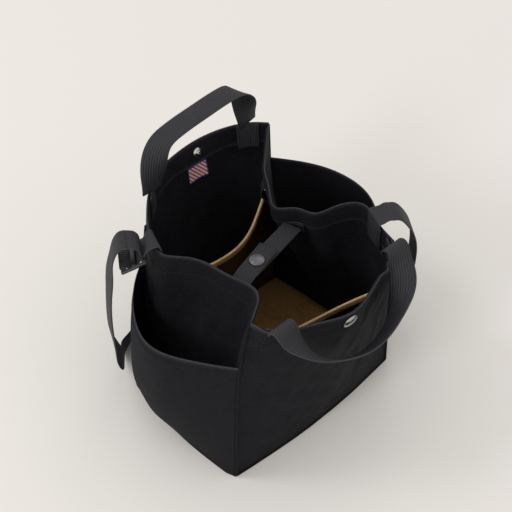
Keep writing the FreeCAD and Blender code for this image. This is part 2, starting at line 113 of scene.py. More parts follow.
class Field:
    """A shader value that adds, multiplies and compares like a number."""

    def __init__(self, tree: bpy.types.NodeTree, socket: bpy.types.NodeSocket) -> None:
        self.tree = tree
        self.socket = socket

    def _math(self, operation: str, *others: "Field | float") -> "Field":
        node = self.tree.nodes.new("ShaderNodeMath")
        node.operation = operation
        self.tree.links.new(self.socket, node.inputs[0])
        for index, other in enumerate(others, 1):
            if isinstance(other, Field):
                self.tree.links.new(other.socket, node.inputs[index])
            else:
                node.inputs[index].default_value = other
        return Field(self.tree, node.outputs[0])

    def __add__(self, other: "Field | float") -> "Field":
        return self._math("ADD", other)

    def __sub__(self, other: "Field | float") -> "Field":
        return self._math("SUBTRACT", other)

    def __mul__(self, other: "Field | float") -> "Field":
        return self._math("MULTIPLY", other)

    def __pow__(self, other: "Field | float") -> "Field":
        return self._math("POWER", other)

    def __gt__(self, other: "Field | float") -> "Field":
        return self._math("GREATER_THAN", other)

    def sine(self) -> "Field":
        """Sine of the value, in radians."""
        return self._math("SINE")

    def size(self) -> "Field":
        """Value without its sign."""
        return self._math("ABSOLUTE")

    def fraction(self) -> "Field":
        """What is left over whole numbers."""
        return self._math("FRACT")

    def ramp(self, low: float, high: float, start: float = 0.0, end: float = 1.0) -> "Field":
        """Value mapped from one range to another, and held inside it.

        Args:
            low: Value that becomes start.
            high: Value that becomes end.
            start: First value of the result.
            end: Last value of the result.

        Returns:
            The mapped value.
        """
        node = self.tree.nodes.new("ShaderNodeMapRange")
        self.tree.links.new(self.socket, node.inputs["Value"])
        for name, value in (("From Min", low), ("From Max", high), ("To Min", start), ("To Max", end)):
            node.inputs[name].default_value = value
        return Field(self.tree, node.outputs["Result"])


class Shader:
    """Node tree of one material, with short names for the sources it reads."""

    def __init__(self, name: str) -> None:
        self.material = bpy.data.materials.new(name)
        self.material.use_nodes = True
        self.tree = self.material.node_tree
        self.bsdf = self.tree.nodes["Principled BSDF"]

    def noise(self, scale: float, detail: float = 2.0) -> Field:
        """Soft noise in the object's own space.

        Args:
            scale: Cells to a metre.
            detail: Octaves of the noise.

        Returns:
            Noise around 0.5.
        """
        place = self.tree.nodes.new("ShaderNodeTexCoord")
        node = self.tree.nodes.new("ShaderNodeTexNoise")
        node.inputs["Scale"].default_value = scale
        node.inputs["Detail"].default_value = detail
        self.tree.links.new(place.outputs["Object"], node.inputs["Vector"])
        return Field(self.tree, node.outputs["Fac"])

    def cloth_axes(self) -> tuple[Field, Field]:
        """Position on the cloth, in millimetres across it and along it."""
        place = self.tree.nodes.new("ShaderNodeTexCoord")
        split = self.tree.nodes.new("ShaderNodeSeparateXYZ")
        self.tree.links.new(place.outputs["UV"], split.inputs[0])
        return Field(self.tree, split.outputs[0]) * 100.0, Field(self.tree, split.outputs[1]) * 100.0

    def wear(self) -> Field:
        """Wear painted on the mesh, 1 along edges and folds."""
        node = self.tree.nodes.new("ShaderNodeAttribute")
        node.attribute_name = "wear"
        return Field(self.tree, node.outputs["Fac"])

    def mix(self, share: Field, low: tuple, high: tuple) -> Field:
        """Colour between two colours.

        Args:
            share: 0 for low and 1 for high.
            low: First colour, as red, green and blue.
            high: Second colour.

        Returns:
            The mixed colour.
        """
        node = self.tree.nodes.new("ShaderNodeMix")
        node.data_type = "RGBA"
        self.tree.links.new(share.socket, node.inputs["Factor"])
        node.inputs[6].default_value = (*low, 1.0)
        node.inputs[7].default_value = (*high, 1.0)
        return Field(self.tree, node.outputs[2])

    def blend(self, share: Field, low: Field, high: tuple) -> Field:
        """Colour between a mixed colour and a plain one."""
        node = self.tree.nodes.new("ShaderNodeMix")
        node.data_type = "RGBA"
        self.tree.links.new(share.socket, node.inputs["Factor"])
        self.tree.links.new(low.socket, node.inputs[6])
        node.inputs[7].default_value = (*high, 1.0)
        return Field(self.tree, node.outputs[2])

    def colour(self, colour: Field) -> None:
        """Connects the colour of the surface."""
        self.tree.links.new(colour.socket, self.bsdf.inputs["Base Color"])

    def roughness(self, value: Field) -> None:
        """Connects the roughness of the surface."""
        self.tree.links.new(value.socket, self.bsdf.inputs["Roughness"])

    def constant(self, name: str, value: float) -> None:
        """Sets a value that is the same over the whole surface."""
        self.bsdf.inputs[name].default_value = value

    def relief(self, height: Field, distance: float, strength: float = 1.0) -> None:
        """Raises the surface by a height field.

        Args:
            height: Height from 0 to 1.
            distance: Height of 1, in metres.
            strength: Share of the relief that shows.
        """
        node = self.tree.nodes.new("ShaderNodeBump")
        node.inputs["Distance"].default_value = distance
        node.inputs["Strength"].default_value = strength
        self.tree.links.new(height.socket, node.inputs["Height"])
        self.tree.links.new(node.outputs["Normal"], self.bsdf.inputs["Normal"])


# Finishes


@dataclass(frozen=True)
class Woven:
    """Plain woven cloth with a nap, used for the canvas and the lining."""

    name: str
    slot: str
    low: tuple
    high: tuple
    edge: tuple
    pitch: float = 1.1
    rough: float = 0.82

    def build(self) -> bpy.types.Material:
        """Makes the material."""
        shader = Shader(self.name)
        across, along = shader.cloth_axes()
        turn = 2.0 * math.pi / self.pitch
        threads = (across * turn).sine() * (along * turn).sine()
        nap = shader.noise(520.0, 3.0)
        clouds = shader.noise(42.0, 5.0)
        tone = clouds.ramp(0.3, 0.75) * 0.35 + nap.ramp(0.42, 0.72) * 0.5 + threads.ramp(-1.0, 1.0) * 0.15
        body = shader.mix(tone, self.low, self.high)
        shader.colour(shader.blend(shader.wear() * nap.ramp(0.2, 0.6, 0.45, 1.0), body, self.edge))
        shader.roughness(clouds.ramp(0.3, 0.7, self.rough - 0.05, self.rough + 0.08))
        shader.constant("Specular IOR Level", 0.2)
        shader.relief(threads.ramp(-1.0, 1.0) * 0.3 + nap * 0.8 + clouds * 3.0, 0.0011, 1.0)
        return shader.material


@dataclass(frozen=True)
class Ribbed:
    """Webbing with ribs along it and a fine cross weave."""

    name: str
    slot: str
    low: tuple
    high: tuple
    ribs: float = 2.55

    def build(self) -> bpy.types.Material:
        """Makes the material."""
        shader = Shader(self.name)
        across, along = shader.cloth_axes()
        ribs = (across * (2.0 * math.pi / self.ribs)).sine().ramp(-1.0, 0.6)
        picks = (along * (2.0 * math.pi / 1.25) + (across * (math.pi / self.ribs)).sine() * 1.4).sine()
        nap = shader.noise(1400.0, 2.0)
        tone = ribs * 0.55 + picks.ramp(-1.0, 1.0) * 0.2 + nap.ramp(0.3, 0.8) * 0.25
        body = shader.mix(tone, self.low, self.high)
        shader.colour(shader.blend(shader.wear() * 0.35, body, (0.055, 0.055, 0.06)))
        shader.roughness(nap.ramp(0.3, 0.7, 0.55, 0.72))
        shader.constant("Specular IOR Level", 0.3)
        shader.relief(ribs * 0.8 + picks.ramp(-1.0, 1.0) * 0.3 + nap * 0.15, 0.00045, 0.9)
        return shader.material


@dataclass(frozen=True)
class Moulded:
    """Moulded plastic with a faint grain."""

    name: str
    slot: str
    low: tuple
    high: tuple

    def build(self) -> bpy.types.Material:
        """Makes the material."""
        shader = Shader(self.name)
        grain = shader.noise(2600.0, 2.0)
        clouds = shader.noise(90.0, 3.0)
        shader.colour(shader.mix(clouds.ramp(0.3, 0.7), self.low, self.high))
        shader.roughness(clouds.ramp(0.3, 0.7, 0.28, 0.44))
        shader.relief(grain, 0.00006, 0.5)
        return shader.material


@dataclass(frozen=True)
class Plated:
    """Plated metal with fine scratches and duller patches."""

    name: str
    slot: str
    low: tuple
    high: tuple
    rough: float

    def build(self) -> bpy.types.Material:
        """Makes the material."""
        shader = Shader(self.name)
        patches = shader.noise(260.0, 4.0)
        scratches = shader.noise(4200.0, 1.0)
        shader.colour(shader.mix(patches.ramp(0.3, 0.75), self.low, self.high))
        shader.roughness(patches.ramp(0.3, 0.75, self.rough, self.rough + 0.14) + scratches * 0.05)
        shader.constant("Metallic", 1.0)
        shader.relief(scratches, 0.00003, 0.35)
        return shader.material


@dataclass(frozen=True)
class WovenLabel:
    """Small woven label: a border round slanting stripes."""

    name: str
    slot: str
    navy: tuple = (0.018, 0.035, 0.16)
    red: tuple = (0.42, 0.035, 0.05)
    pale: tuple = (0.62, 0.54, 0.52)

    def build(self) -> bpy.types.Material:
        """Makes the material."""
        shader = Shader(self.name)
        across, along = shader.cloth_axes()
        stripe = ((across + along) * 0.21).fraction() > 0.5
        body = shader.mix(stripe, self.red, self.pale)
        centre_x = (across - LABEL_CENTRE[0]).size() > LABEL_HALF[0] - 1.6
        centre_y = (along - LABEL_CENTRE[1]).size() > LABEL_HALF[1] - 1.6
        border = (centre_x + centre_y).ramp(0.0, 1.0)
        shader.colour(shader.blend(border, body, self.navy))
        threads = (across * 9.0).sine() * (along * 9.0).sine()
        shader.roughness(threads.ramp(-1.0, 1.0, 0.6, 0.75))
        shader.relief(threads.ramp(-1.0, 1.0), 0.0002, 0.6)
        return shader.material


LABEL_CENTRE = (14.0, 27.9)
LABEL_HALF = (14.0, 9.0)
CANVAS_CLOTH = Woven("black_canvas", "canvas", (0.0017, 0.0018, 0.0030), (0.0130, 0.0134, 0.0200),
                     (0.042, 0.042, 0.05))
BINDING = Woven("tan_binding", "lining", (0.42, 0.225, 0.08), (0.70, 0.43, 0.185), (0.84, 0.58, 0.31), 0.9,
                0.8)
# Tan lining cloth coloured dark brown: painted shade for the pocket faces that lie in the shadow inside the
# bag.
SHADED_POCKET_LINING = Woven("shaded_pocket_lining", "lining", (0.05, 0.025, 0.010), (0.115, 0.060, 0.026),
                      (0.15, 0.09, 0.045))
LINING = Woven("tan_lining", "lining", (0.27, 0.138, 0.048), (0.48, 0.27, 0.108), (0.62, 0.39, 0.18), 0.9,
               0.8)
STRAP_CLOTH = Ribbed("black_webbing", "webbing", (0.002, 0.002, 0.003), (0.040, 0.040, 0.047))
NARROW_CLOTH = Ribbed("narrow_webbing", "webbing", (0.003, 0.003, 0.004), (0.034, 0.034, 0.040), 1.7)
PLASTIC = Moulded("black_plastic", "slider", (0.010, 0.010, 0.011), (0.022, 0.022, 0.024))
DARK_METAL = Plated("dark_plate", "snap_metal", (0.11, 0.11, 0.12), (0.20, 0.20, 0.215), 0.22)
BRIGHT_METAL = Plated("bright_plate", "snap_metal", (0.50, 0.49, 0.47), (0.68, 0.67, 0.65), 0.20)
LABEL_CLOTH = WovenLabel("label_weave", "label")
SEAM_CLOTH = Woven("seam_canvas", "canvas", (0.0025, 0.0025, 0.0032), (0.010, 0.010, 0.012),
                   (0.014, 0.014, 0.016))
THREAD = Woven("black_thread", "canvas", (0.010, 0.010, 0.011), (0.03, 0.03, 0.033), (0.05, 0.05, 0.055),
               0.5, 0.6)


class Palette:
    """Materials made once and shared by every piece."""

    def __init__(self) -> None:
        self.made: dict[str, bpy.types.Material] = {}

    def of(self, finish) -> bpy.types.Material:
        """Material of a finish.

        Args:
            finish: One of the finishes above.

        Returns:
            The material, made on first use.
        """
        if finish.name not in self.made:
            self.made[finish.name] = finish.build()
        return self.made[finish.name]


PALETTE = Palette()


# Curves and meshes


def spline(points: np.ndarray, count: int) -> np.ndarray:
    """Smooth curve through points, at even steps.

    Args:
        points: Points or rows of numbers, one for each station.
        count: How many rows to return.

    Returns:
        Rows along a natural cubic spline whose parameter is the length of the chords.
    """
    points = np.asarray(points, float)
    chords = np.linalg.norm(np.diff(points[:, :3], axis=0), axis=1)
    knots = np.concatenate(([0.0], np.cumsum(chords)))
    dense = np.linspace(0.0, knots[-1], 40 * len(points))
    curve = natural(knots, points, dense)
    steps = np.linalg.norm(np.diff(curve[:, :3], axis=0), axis=1)
    length = np.concatenate(([0.0], np.cumsum(steps)))
    places = np.interp(np.linspace(0.0, length[-1], count), length, dense)
    return natural(knots, points, places)


def natural(knots: np.ndarray, values: np.ndarray, places: np.ndarray) -> np.ndarray:
    """Natural cubic spline through values at knots, read at places."""
    count = len(knots)
    if count < 3:
        share = ((places - knots[0]) / (knots[-1] - knots[0]))[:, None]
        return values[0] * (1.0 - share) + values[-1] * share
    gaps = np.diff(knots)
    system = np.eye(count)
    right = np.zeros((count, values.shape[1]))
    for row in range(1, count - 1):
        system[row, row - 1] = gaps[row - 1]
        system[row, row] = 2.0 * (gaps[row - 1] + gaps[row])
        system[row, row + 1] = gaps[row]
        right[row] = 6.0 * ((values[row + 1] - values[row]) / gaps[row]
                            - (values[row] - values[row - 1]) / gaps[row - 1])
    bend = np.linalg.solve(system, right)
    cell = np.clip(np.searchsorted(knots, places, side="right") - 1, 0, count - 2)
    gap = gaps[cell][:, None]
    low = (knots[cell + 1] - places)[:, None]
    high = (places - knots[cell])[:, None]
    return ((bend[cell] * low ** 3 + bend[cell + 1] * high ** 3) / (6.0 * gap)
            + (values[cell] / gap - bend[cell] * gap / 6.0) * low
            + (values[cell + 1] / gap - bend[cell + 1] * gap / 6.0) * high)


@dataclass
class Piece:
    """Mesh data on its way to becoming one named object."""

    name: str
    body: Body
    finish: object
    nodes: tuple = ()
    inner_finish: object = None

    def place(self, points: np.ndarray, faces: list, axes: np.ndarray, wear: np.ndarray,
              inside: set) -> bpy.types.Object:
        """Makes the object from points in millimetres.

        Args:
            points: One row for each vertex.
            faces: Vertex numbers of each face.
            axes: Position of each vertex on the cloth, in millimetres.
            wear: Wear of each vertex, from 0 to 1.
            inside: Numbers of the faces that show the inner finish.

        Returns:
            The finished object, riding on its body.
        """
        mesh = bpy.data.meshes.new(self.name)
        mesh.from_pydata([tuple(point * MM) for point in points], [], faces)
        mesh.validate()
        layer = mesh.uv_layers.new(name="cloth")
        numbers = np.empty(len(mesh.loops), dtype=np.int64)
        mesh.loops.foreach_get("vertex_index", numbers)
        layer.data.foreach_set("uv", (axes[numbers] / 100.0).ravel())
        attribute = mesh.attributes.new("wear", "FLOAT", "POINT")
        attribute.data.foreach_set("value", wear.astype(np.float32))
        mesh.materials.append(PALETTE.of(self.finish))
        if self.inner_finish is not None:
            mesh.materials.append(PALETTE.of(self.inner_finish))
            for number in inside:
                mesh.polygons[number].material_index = 1
        work = bmesh.new()
        work.from_mesh(mesh)
        bmesh.ops.recalc_face_normals(work, faces=work.faces)
        work.to_mesh(mesh)
        work.free()
        mesh.shade_smooth()
        return self.settle(bpy.data.objects.new(self.name, mesh))

    def settle(self, piece: bpy.types.Object) -> bpy.types.Object:
        """Links an object, puts it on its body and lets it stand for its nodes."""
        bpy.context.scene.collection.objects.link(piece)
        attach(piece, self.body.value)
        if self.nodes:
            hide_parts(*self.nodes)
        return piece


def cloth(piece: Piece, outer: np.ndarray, inner: np.ndarray, worn: float = 1.0) -> bpy.types.Object:
    """Closed cloth between two grids, with a folded upper edge.

    Args:
        piece: Name, body and finish.
        outer: Grid of points, a column for each step along the cloth and its rows upwards.
        inner: Matching grid on the other side.
        worn: Wear along the folded edge.

    Returns:
        The object.
    """
    columns, rows = outer.shape[:2]
    middle = (outer[:, -1] + inner[:, -1]) / 2.0
    arm = (outer[:, -1] - inner[:, -1]) / 2.0
    up = outer[:, -1] - outer[:, -2]
    up /= np.linalg.norm(up, axis=1)[:, None]
    radius = np.linalg.norm(arm, axis=1)[:, None]
    bend = [middle + arm * math.cos(angle) + up * radius * math.sin(angle)
            for angle in (math.pi / 4.0, math.pi / 2.0, 3.0 * math.pi / 4.0)]
    ring = np.concatenate([outer, np.stack(bend, axis=1), inner[:, ::-1]], axis=1)
    around = ring.shape[1]
    along = np.concatenate(([0.0], np.cumsum(np.linalg.norm(np.diff(outer[:, rows // 2], axis=0), axis=1))))
    height = np.concatenate(([0.0], np.cumsum(np.linalg.norm(np.diff(ring.mean(axis=0), axis=0), axis=1))))
    axes = np.stack(np.meshgrid(along, height, indexing="ij"), axis=-1).reshape(-1, 2)
    edge = np.exp(-((height - height[rows + 1]) / 2.2) ** 2) * worn
    wear = np.tile(edge, columns)
    faces = []
    inside = set()
    for column in range(columns - 1):
        for step in range(around):
            following = (step + 1) % around
            if step >= rows + 1 and following:
                inside.add(len(faces))
            faces.append((column * around + step, (column + 1) * around + step,
                          (column + 1) * around + following, column * around + following))
    for column in (0, columns - 1):
        first = column * around
        for row in range(rows - 1):
            faces.append((first + row, first + row + 1, first + around - 2 - row, first + around - 1 - row))
        faces.append(tuple(first + rows - 1 + step for step in range(5)))
    return piece.place(ring.reshape(-1, 3), faces, axes, wear, inside)


def webbing(piece: Piece, stations: list, width: float, thickness: float,
            count: int = 90) -> bpy.types.Object:
    """Flat webbing with rounded selvedges along a path.

    Args:
        piece: Name, body and finish.
        stations: Centres with rough width directions.
        width: Width in millimetres.
        thickness: Thickness in millimetres.
        count: Sections along the path.

    Returns:
        The object.
    """
    rows = np.array([np.concatenate((centre, way)) for centre, way in stations])
    smooth = spline(rows, count)
    centres = smooth[:, :3]
    runs = np.gradient(centres, axis=0)
    runs /= np.linalg.norm(runs, axis=1)[:, None]
    ways = smooth[:, 3:]
    ways = ways - runs * np.sum(ways * runs, axis=1)[:, None]
    ways /= np.linalg.norm(ways, axis=1)[:, None]
    normals = np.cross(runs, ways)
    half = width / 2.0
    flat = thickness / 2.0
    spread = [-half + 0.9, -half / 2.0, 0.0, half / 2.0, half - 0.9]
    section = [(-half, -flat * 0.35), (-half, flat * 0.35)] + [(x, flat) for x in spread]
    section += [(half, flat * 0.35), (half, -flat * 0.35)] + [(x, -flat) for x in reversed(spread)]
    around = len(section)
    points = np.stack([centres + ways * x + normals * y for x, y in section], axis=1)
    length = np.concatenate(([0.0], np.cumsum(np.linalg.norm(np.diff(centres, axis=0), axis=1))))
    axes = np.array([[(x, run) for x, _ in section] for run in length]).reshape(-1, 2)
    wear = np.tile([1.0 if abs(x) > half - 0.5 else 0.0 for x, _ in section], count)
    faces = []
    for step in range(count - 1):
        for corner in range(around):
            following = (corner + 1) % around
            faces.append((step * around + corner, (step + 1) * around + corner,
                          (step + 1) * around + following, step * around + following))
    faces.append(tuple(range(around)))
    faces.append(tuple(range((count - 1) * around, count * around)))
    return piece.place(points.reshape(-1, 3), faces, axes, wear, set())


def turned(piece: Piece, outline: list, place: np.ndarray, axis: np.ndarray,
           steps: int = 40) -> bpy.types.Object:
    """Round piece turned from an outline about an axis.

    Args:
        piece: Name, body and finish.
        outline: Radius and height of each corner, in millimetres.
        place: Foot of the axis.
        axis: Direction of the axis.
        steps: Sections round the axis.

    Returns:
        The object.
    """
    axis = axis / np.linalg.norm(axis)
    side = np.cross(axis, (0.0, 0.0, 1.0) if abs(axis[2]) < 0.9 else (1.0, 0.0, 0.0))
    side /= np.linalg.norm(side)
    other = np.cross(axis, side)
    angles = np.linspace(0.0, 2.0 * math.pi, steps, endpoint=False)
    points = [place + axis * height + (side * math.cos(angle) + other * math.sin(angle)) * max(radius, 0.02)
              for angle in angles for radius, height in outline]
    around = len(outline)
    faces = []
    for step in range(steps):
        following = (step + 1) % steps
        for corner in range(around):
            after = (corner + 1) % around
            faces.append((step * around + corner, following * around + corner,
                          following * around + after, step * around + after))
    count = len(points)
    return piece.place(np.array(points), faces, np.zeros((count, 2)), np.zeros(count), set())


# Stitches by geometry nodes


def stitch_group() -> bpy.types.NodeTree:
    """Node group that lays a stitch at even steps along every spline of a curve."""
    group = bpy.data.node_groups.new("stitches", "GeometryNodeTree")
    sockets = group.interface
    sockets.new_socket("Geometry", in_out="INPUT", socket_type="NodeSocketGeometry")
    sockets.new_socket("Spacing", in_out="INPUT", socket_type="NodeSocketFloat")
    sockets.new_socket("Length", in_out="INPUT", socket_type="NodeSocketFloat")
    sockets.new_socket("Radius", in_out="INPUT", socket_type="NodeSocketFloat")
    sockets.new_socket("Thread", in_out="INPUT", socket_type="NodeSocketMaterial")
    sockets.new_socket("Geometry", in_out="OUTPUT", socket_type="NodeSocketGeometry")
    nodes = group.nodes
    source = nodes.new("NodeGroupInput")
    target = nodes.new("NodeGroupOutput")
    points = nodes.new("GeometryNodeCurveToPoints")
    points.mode = "LENGTH"
    ball = nodes.new("GeometryNodeMeshUVSphere")
    ball.inputs["Segments"].default_value = 6
    ball.inputs["Rings"].default_value = 5
    ball.inputs["Radius"].default_value = 1.0
    size = nodes.new("ShaderNodeCombineXYZ")
    instances = nodes.new("GeometryNodeInstanceOnPoints")
    realize = nodes.new("GeometryNodeRealizeInstances")
    paint = nodes.new("GeometryNodeSetMaterial")
    wires = (
        (source.outputs["Geometry"], points.inputs["Curve"]),
        (source.outputs["Spacing"], points.inputs["Length"]),
        (source.outputs["Radius"], size.inputs["X"]),
        (source.outputs["Radius"], size.inputs["Y"]),
        (source.outputs["Length"], size.inputs["Z"]),
        (points.outputs["Points"], instances.inputs["Points"]),
        (points.outputs["Rotation"], instances.inputs["Rotation"]),
        (ball.outputs["Mesh"], instances.inputs["Instance"]),
        (size.outputs["Vector"], instances.inputs["Scale"]),
        (instances.outputs["Instances"], realize.inputs["Geometry"]),
        (realize.outputs["Geometry"], paint.inputs["Geometry"]),
        (source.outputs["Thread"], paint.inputs["Material"]),
        (paint.outputs["Geometry"], target.inputs["Geometry"]),
    )
    for start, end in wires:
        group.links.new(start, end)
    return group


class Stitching:
    """All seams sewn on one body, gathered into one piece."""

    def __init__(self, group: bpy.types.NodeTree) -> None:
        self.group = group
        self.lines: list[np.ndarray] = []

    def add(self, points: np.ndarray) -> None:
        """Adds one line of stitches through points in millimetres."""
        self.lines.append(np.asarray(points, float))

    def sew(self, piece: Piece, spacing: float = 3.1, length: float = 1.15, radius: float = 0.34) -> None:
        """Turns the lines into thread.

        Args:
            piece: Name, body and finish of the thread.
            spacing: Step between stitches, in millimetres.
            length: Half the length of a stitch.
            radius: Half its thickness.
        """
        curve = bpy.data.curves.new(piece.name + "_lines", "CURVE")
        curve.dimensions = "3D"
        for line in self.lines:
            run = curve.splines.new("POLY")
            run.points.add(len(line) - 1)
            run.points.foreach_set("co", np.hstack((line * MM, np.ones((len(line), 1)))).ravel())
        guide = bpy.data.objects.new(piece.name + "_guide", curve)
        bpy.context.scene.collection.objects.link(guide)
        modifier = guide.modifiers.new("stitches", "NODES")
        modifier.node_group = self.group
        values = {"Spacing": spacing * MM, "Length": length * MM, "Radius": radius * MM,
                  "Thread": PALETTE.of(piece.finish)}
        for item in self.group.interface.items_tree:
            if item.in_out == "INPUT" and item.name in values:
                modifier[item.identifier] = values[item.name]
        bpy.context.view_layer.update()
        graph = bpy.context.evaluated_depsgraph_get()
        mesh = bpy.data.meshes.new_from_object(guide.evaluated_get(graph), depsgraph=graph)
        bpy.data.objects.remove(guide)
        bpy.data.curves.remove(curve)
        mesh.shade_smooth()
        mesh.name = piece.name
        piece.settle(bpy.data.objects.new(piece.name, mesh))


# Shape of the bag


@dataclass(frozen=True)
class Corner:
    """One corner seam, from the base to the rim."""

    side: tuple
    lean: tuple
    hang: Hang
    tuck: float = 0.0

    @property
    def base(self) -> np.ndarray:
        """Foot of the seam on the floor."""
        return np.array((self.side[0] * (BASE_WIDTH / 2.0 - self.tuck),
                         self.side[1] * (BASE_DEPTH / 2.0 - self.tuck)))

    @property
    def shift(self) -> np.ndarray:
        """How far the rim has moved from the foot."""
        return np.array((self.lean[0] + self.side[0] * self.tuck, self.lean[1] + self.side[1] * self.tuck))

    def point(self, level: float, depth: float = 0.0) -> np.ndarray:
        """Point of the seam at a level, at a depth inside the outer face.

        Args:
            level: Height on the wall, from 0 at the base to 1 at the rim.
            depth: Distance inside the outer face, in millimetres.

        Returns:
            The point, in millimetres.
        """
        rim = math.sqrt(PANEL_HEIGHT ** 2 - float(np.sum(self.shift ** 2)))
        place = self.base + self.shift * self.hang.share(level) - np.array(self.side) * depth
        return np.array((place[0], place[1], level * rim))


@dataclass(frozen=True)
class Fold:
    """Soft ridge in the cloth between two places, given as share of length and level."""

    start: tuple
    end: tuple
    width: float
    height: float


SOFT_WAVES = ((9.0, 5.0, 1.0), (17.0, -8.0, 0.7), (29.0, 13.0, 0.5), (0.0, 23.0, 0.35))


class Wall:
    """One side of the bag between two corner seams."""

    def __init__(self, start: Corner, end: Corner, rim: tuple, hang: Hang, folds: tuple = (),
                 seed: int = 1) -> None:
        self.start = start
        self.end = end
        self.hang = hang
        self.folds = folds
        along = np.array(end.side, float) - np.array(start.side, float)
        self.along = along / np.linalg.norm(along)
        self.out = np.array((self.along[1], -self.along[0]))
        self.line = BASE_WIDTH if abs(self.along[0]) > 0.5 else BASE_DEPTH
        corner = np.array((start.side[0] * BASE_WIDTH / 2.0, start.side[1] * BASE_DEPTH / 2.0))
        stations = [start.point(1.0)[:2]]
        stations += [corner + self.along * (share * self.line) + self.out * distance for share,
                     distance in rim]
        stations.append(end.point(1.0)[:2])
        self.rim = spline(np.array([(x, y, 0.0) for x, y in stations]), 401)[:, :2]
        self.waves = np.random.default_rng(seed).uniform(0.0, 2.0 * math.pi, 8)

    def relief(self, share: float, level: float) -> float:
        """Height of the wrinkles at a place, in millimetres.

        Args:
            share: Place along the wall, from 0 to 1.
            level: Height on the wall, from 0 at the base to 1 at the rim.

        Returns:
            Distance outwards from the smooth face.
        """
        waves = self.waves
        soft = sum(size * math.sin(along * share + rise * level + phase)
                   for (along, rise, size), phase in zip(SOFT_WAVES, waves))
        frame_share = math.sin(math.pi * share) ** 0.5 * math.sin(math.pi * min(level * 1.02, 1.0)) ** 0.6
        fine = (math.sin(37.0 * share + 17.0 * level + waves[4]) * math.sin(25.0 * level - 9.0 * share
                                                                            + waves[5])
                + 0.6 * math.sin(61.0 * share - 23.0 * level + waves[6]) * math.sin(15.0 * level + waves[7]))
        height = (1.3 * soft + 0.9 * fine) * frame_share
        here = np.array((share * self.line, level * PANEL_HEIGHT))
        for fold in self.folds:
            first = np.array((fold.start[0] * self.line, fold.start[1] * PANEL_HEIGHT))
            last = np.array((fold.end[0] * self.line, fold.end[1] * PANEL_HEIGHT))
            run = last - first
            part = float(np.clip(np.dot(here - first, run) / np.dot(run, run), 0.0, 1.0))
            gap = float(np.linalg.norm(here - first - run * part))
            height += fold.height * math.exp(-(gap / fold.width) ** 2) * (1.0 - 0.75 * part)
        return height

    def bare(self, share: float, level: float) -> np.ndarray:
        """Point of the outer face with no wrinkles.

        Args:
            share: Place along the wall, from 0 to 1.
            level: Height on the wall, from 0 at the base to 1 at the rim.

        Returns:
            The point, in millimetres.
        """
        middle = math.sin(math.pi * share)
        base = self.start.base * (1.0 - share) + self.end.base * share + self.out * (WALL_SWELL * middle)
        ends = (1.0 - share) * self.start.hang.share(level) + share * self.end.hang.share(level)
        lean = (1.0 - middle) * ends + middle * self.hang.share(level)
        index = share * 400.0
        low = min(int(index), 399)
        rim = self.rim[low] + (self.rim[low + 1] - self.rim[low]) * (index - low)
        height = math.sqrt(PANEL_HEIGHT ** 2 - float(np.sum((rim - base) ** 2)))
        place = base + (rim - base) * lean
        return np.array((place[0], place[1], level * height))

    def normal(self, share: float, level: float) -> np.ndarray:
        """Level direction out of the wall.

        Args:
            share: Place along the wall, from 0 to 1.
            level: Height on the wall, from 0 at the base to 1 at the rim.

        Returns:
            Unit vector.
        """
        before = self.bare(max(share - 0.012, 0.0), level)
        after = self.bare(min(share + 0.012, 1.0), level)
        run = (after - before)[:2]
        run /= np.linalg.norm(run)
        return np.array((run[1], -run[0], 0.0))

    def point(self, share: float, level: float, depth: float = 0.0) -> np.ndarray:
        """Point at a depth inside the outer face, wrinkles included.

        Args:
            share: Place along the wall, from 0 to 1.
            level: Height on the wall, from 0 at the base to 1 at the rim.
            depth: Distance inside the outer face, in millimetres.

        Returns:
            The point, in millimetres.
        """
        lift = self.relief(share, level)
        place = self.bare(share, level) - self.normal(share, level) * (depth - lift)
        near = min(share, 1.0 - share) / 0.05
        if near < 1.0:
            corner = (self.start if share < 0.5 else self.end).point(level, depth)
            smooth = near * near * (3.0 - 2.0 * near)
            place = corner * (1.0 - smooth) + place * smooth
        return place

    def grid(self, shares: np.ndarray, levels: np.ndarray, depth: float) -> np.ndarray:
        """Points at one depth, a column for each share.

        Args:
            shares: Places along the wall.
            levels: Levels from low to high.
            depth: Distance inside the outer face, in millimetres.

        Returns:
            Grid of points.
        """
        return np.array([[self.point(share, level, depth) for level in levels] for share in shares])

    def level(self, drop: float) -> float:
        """Level at a drop under the rim.

        Args:
            drop: Distance under the rim, in millimetres.

        Returns:
            Level from 0 to 1.
        """
        return 1.0 - drop / PANEL_HEIGHT

    def spread(self, share: float, width: float, steps: int = 9) -> np.ndarray:
        """Shares across a strip of a given width.

        Args:
            share: Place along the wall, from 0 to 1.
            width: Width of the strip, in millimetres.
            steps: How many shares to return.

        Returns:
            Shares from one edge of the strip to the other.
        """
        rate = np.linalg.norm(self.bare(share + 0.02, 1.0) - self.bare(share - 0.02, 1.0)) / 0.04
        return share + np.linspace(-0.5, 0.5, steps) * width / rate

    def crest(self, share: float, width: float, gap: float) -> np.ndarray:
        """Where webbing leaves the rim over its sewn end.

        Args:
            share: Place along the wall, from 0 to 1.
            width: Width of the webbing.
            gap: Room left under it.

        Returns:
            The point, in millimetres.
        """
        place = self.point(share, 1.0, SEWN_DEPTH + WEBBING_THICKNESS / 2.0)
        top = max(self.point(part, 1.0, CANVAS)[2] for part in self.spread(share, width, 5))
        return np.array((place[0], place[1], (top + place[2]) / 2.0 + gap))

    def way(self, share: float) -> np.ndarray:
        """Level direction along the rim.

        Args:
            share: Place along the wall, from 0 to 1.

        Returns:
            Unit vector.
        """
        run = self.bare(share + 0.02, 1.0) - self.bare(share - 0.02, 1.0)
        run[2] = 0.0
        return run / np.linalg.norm(run)


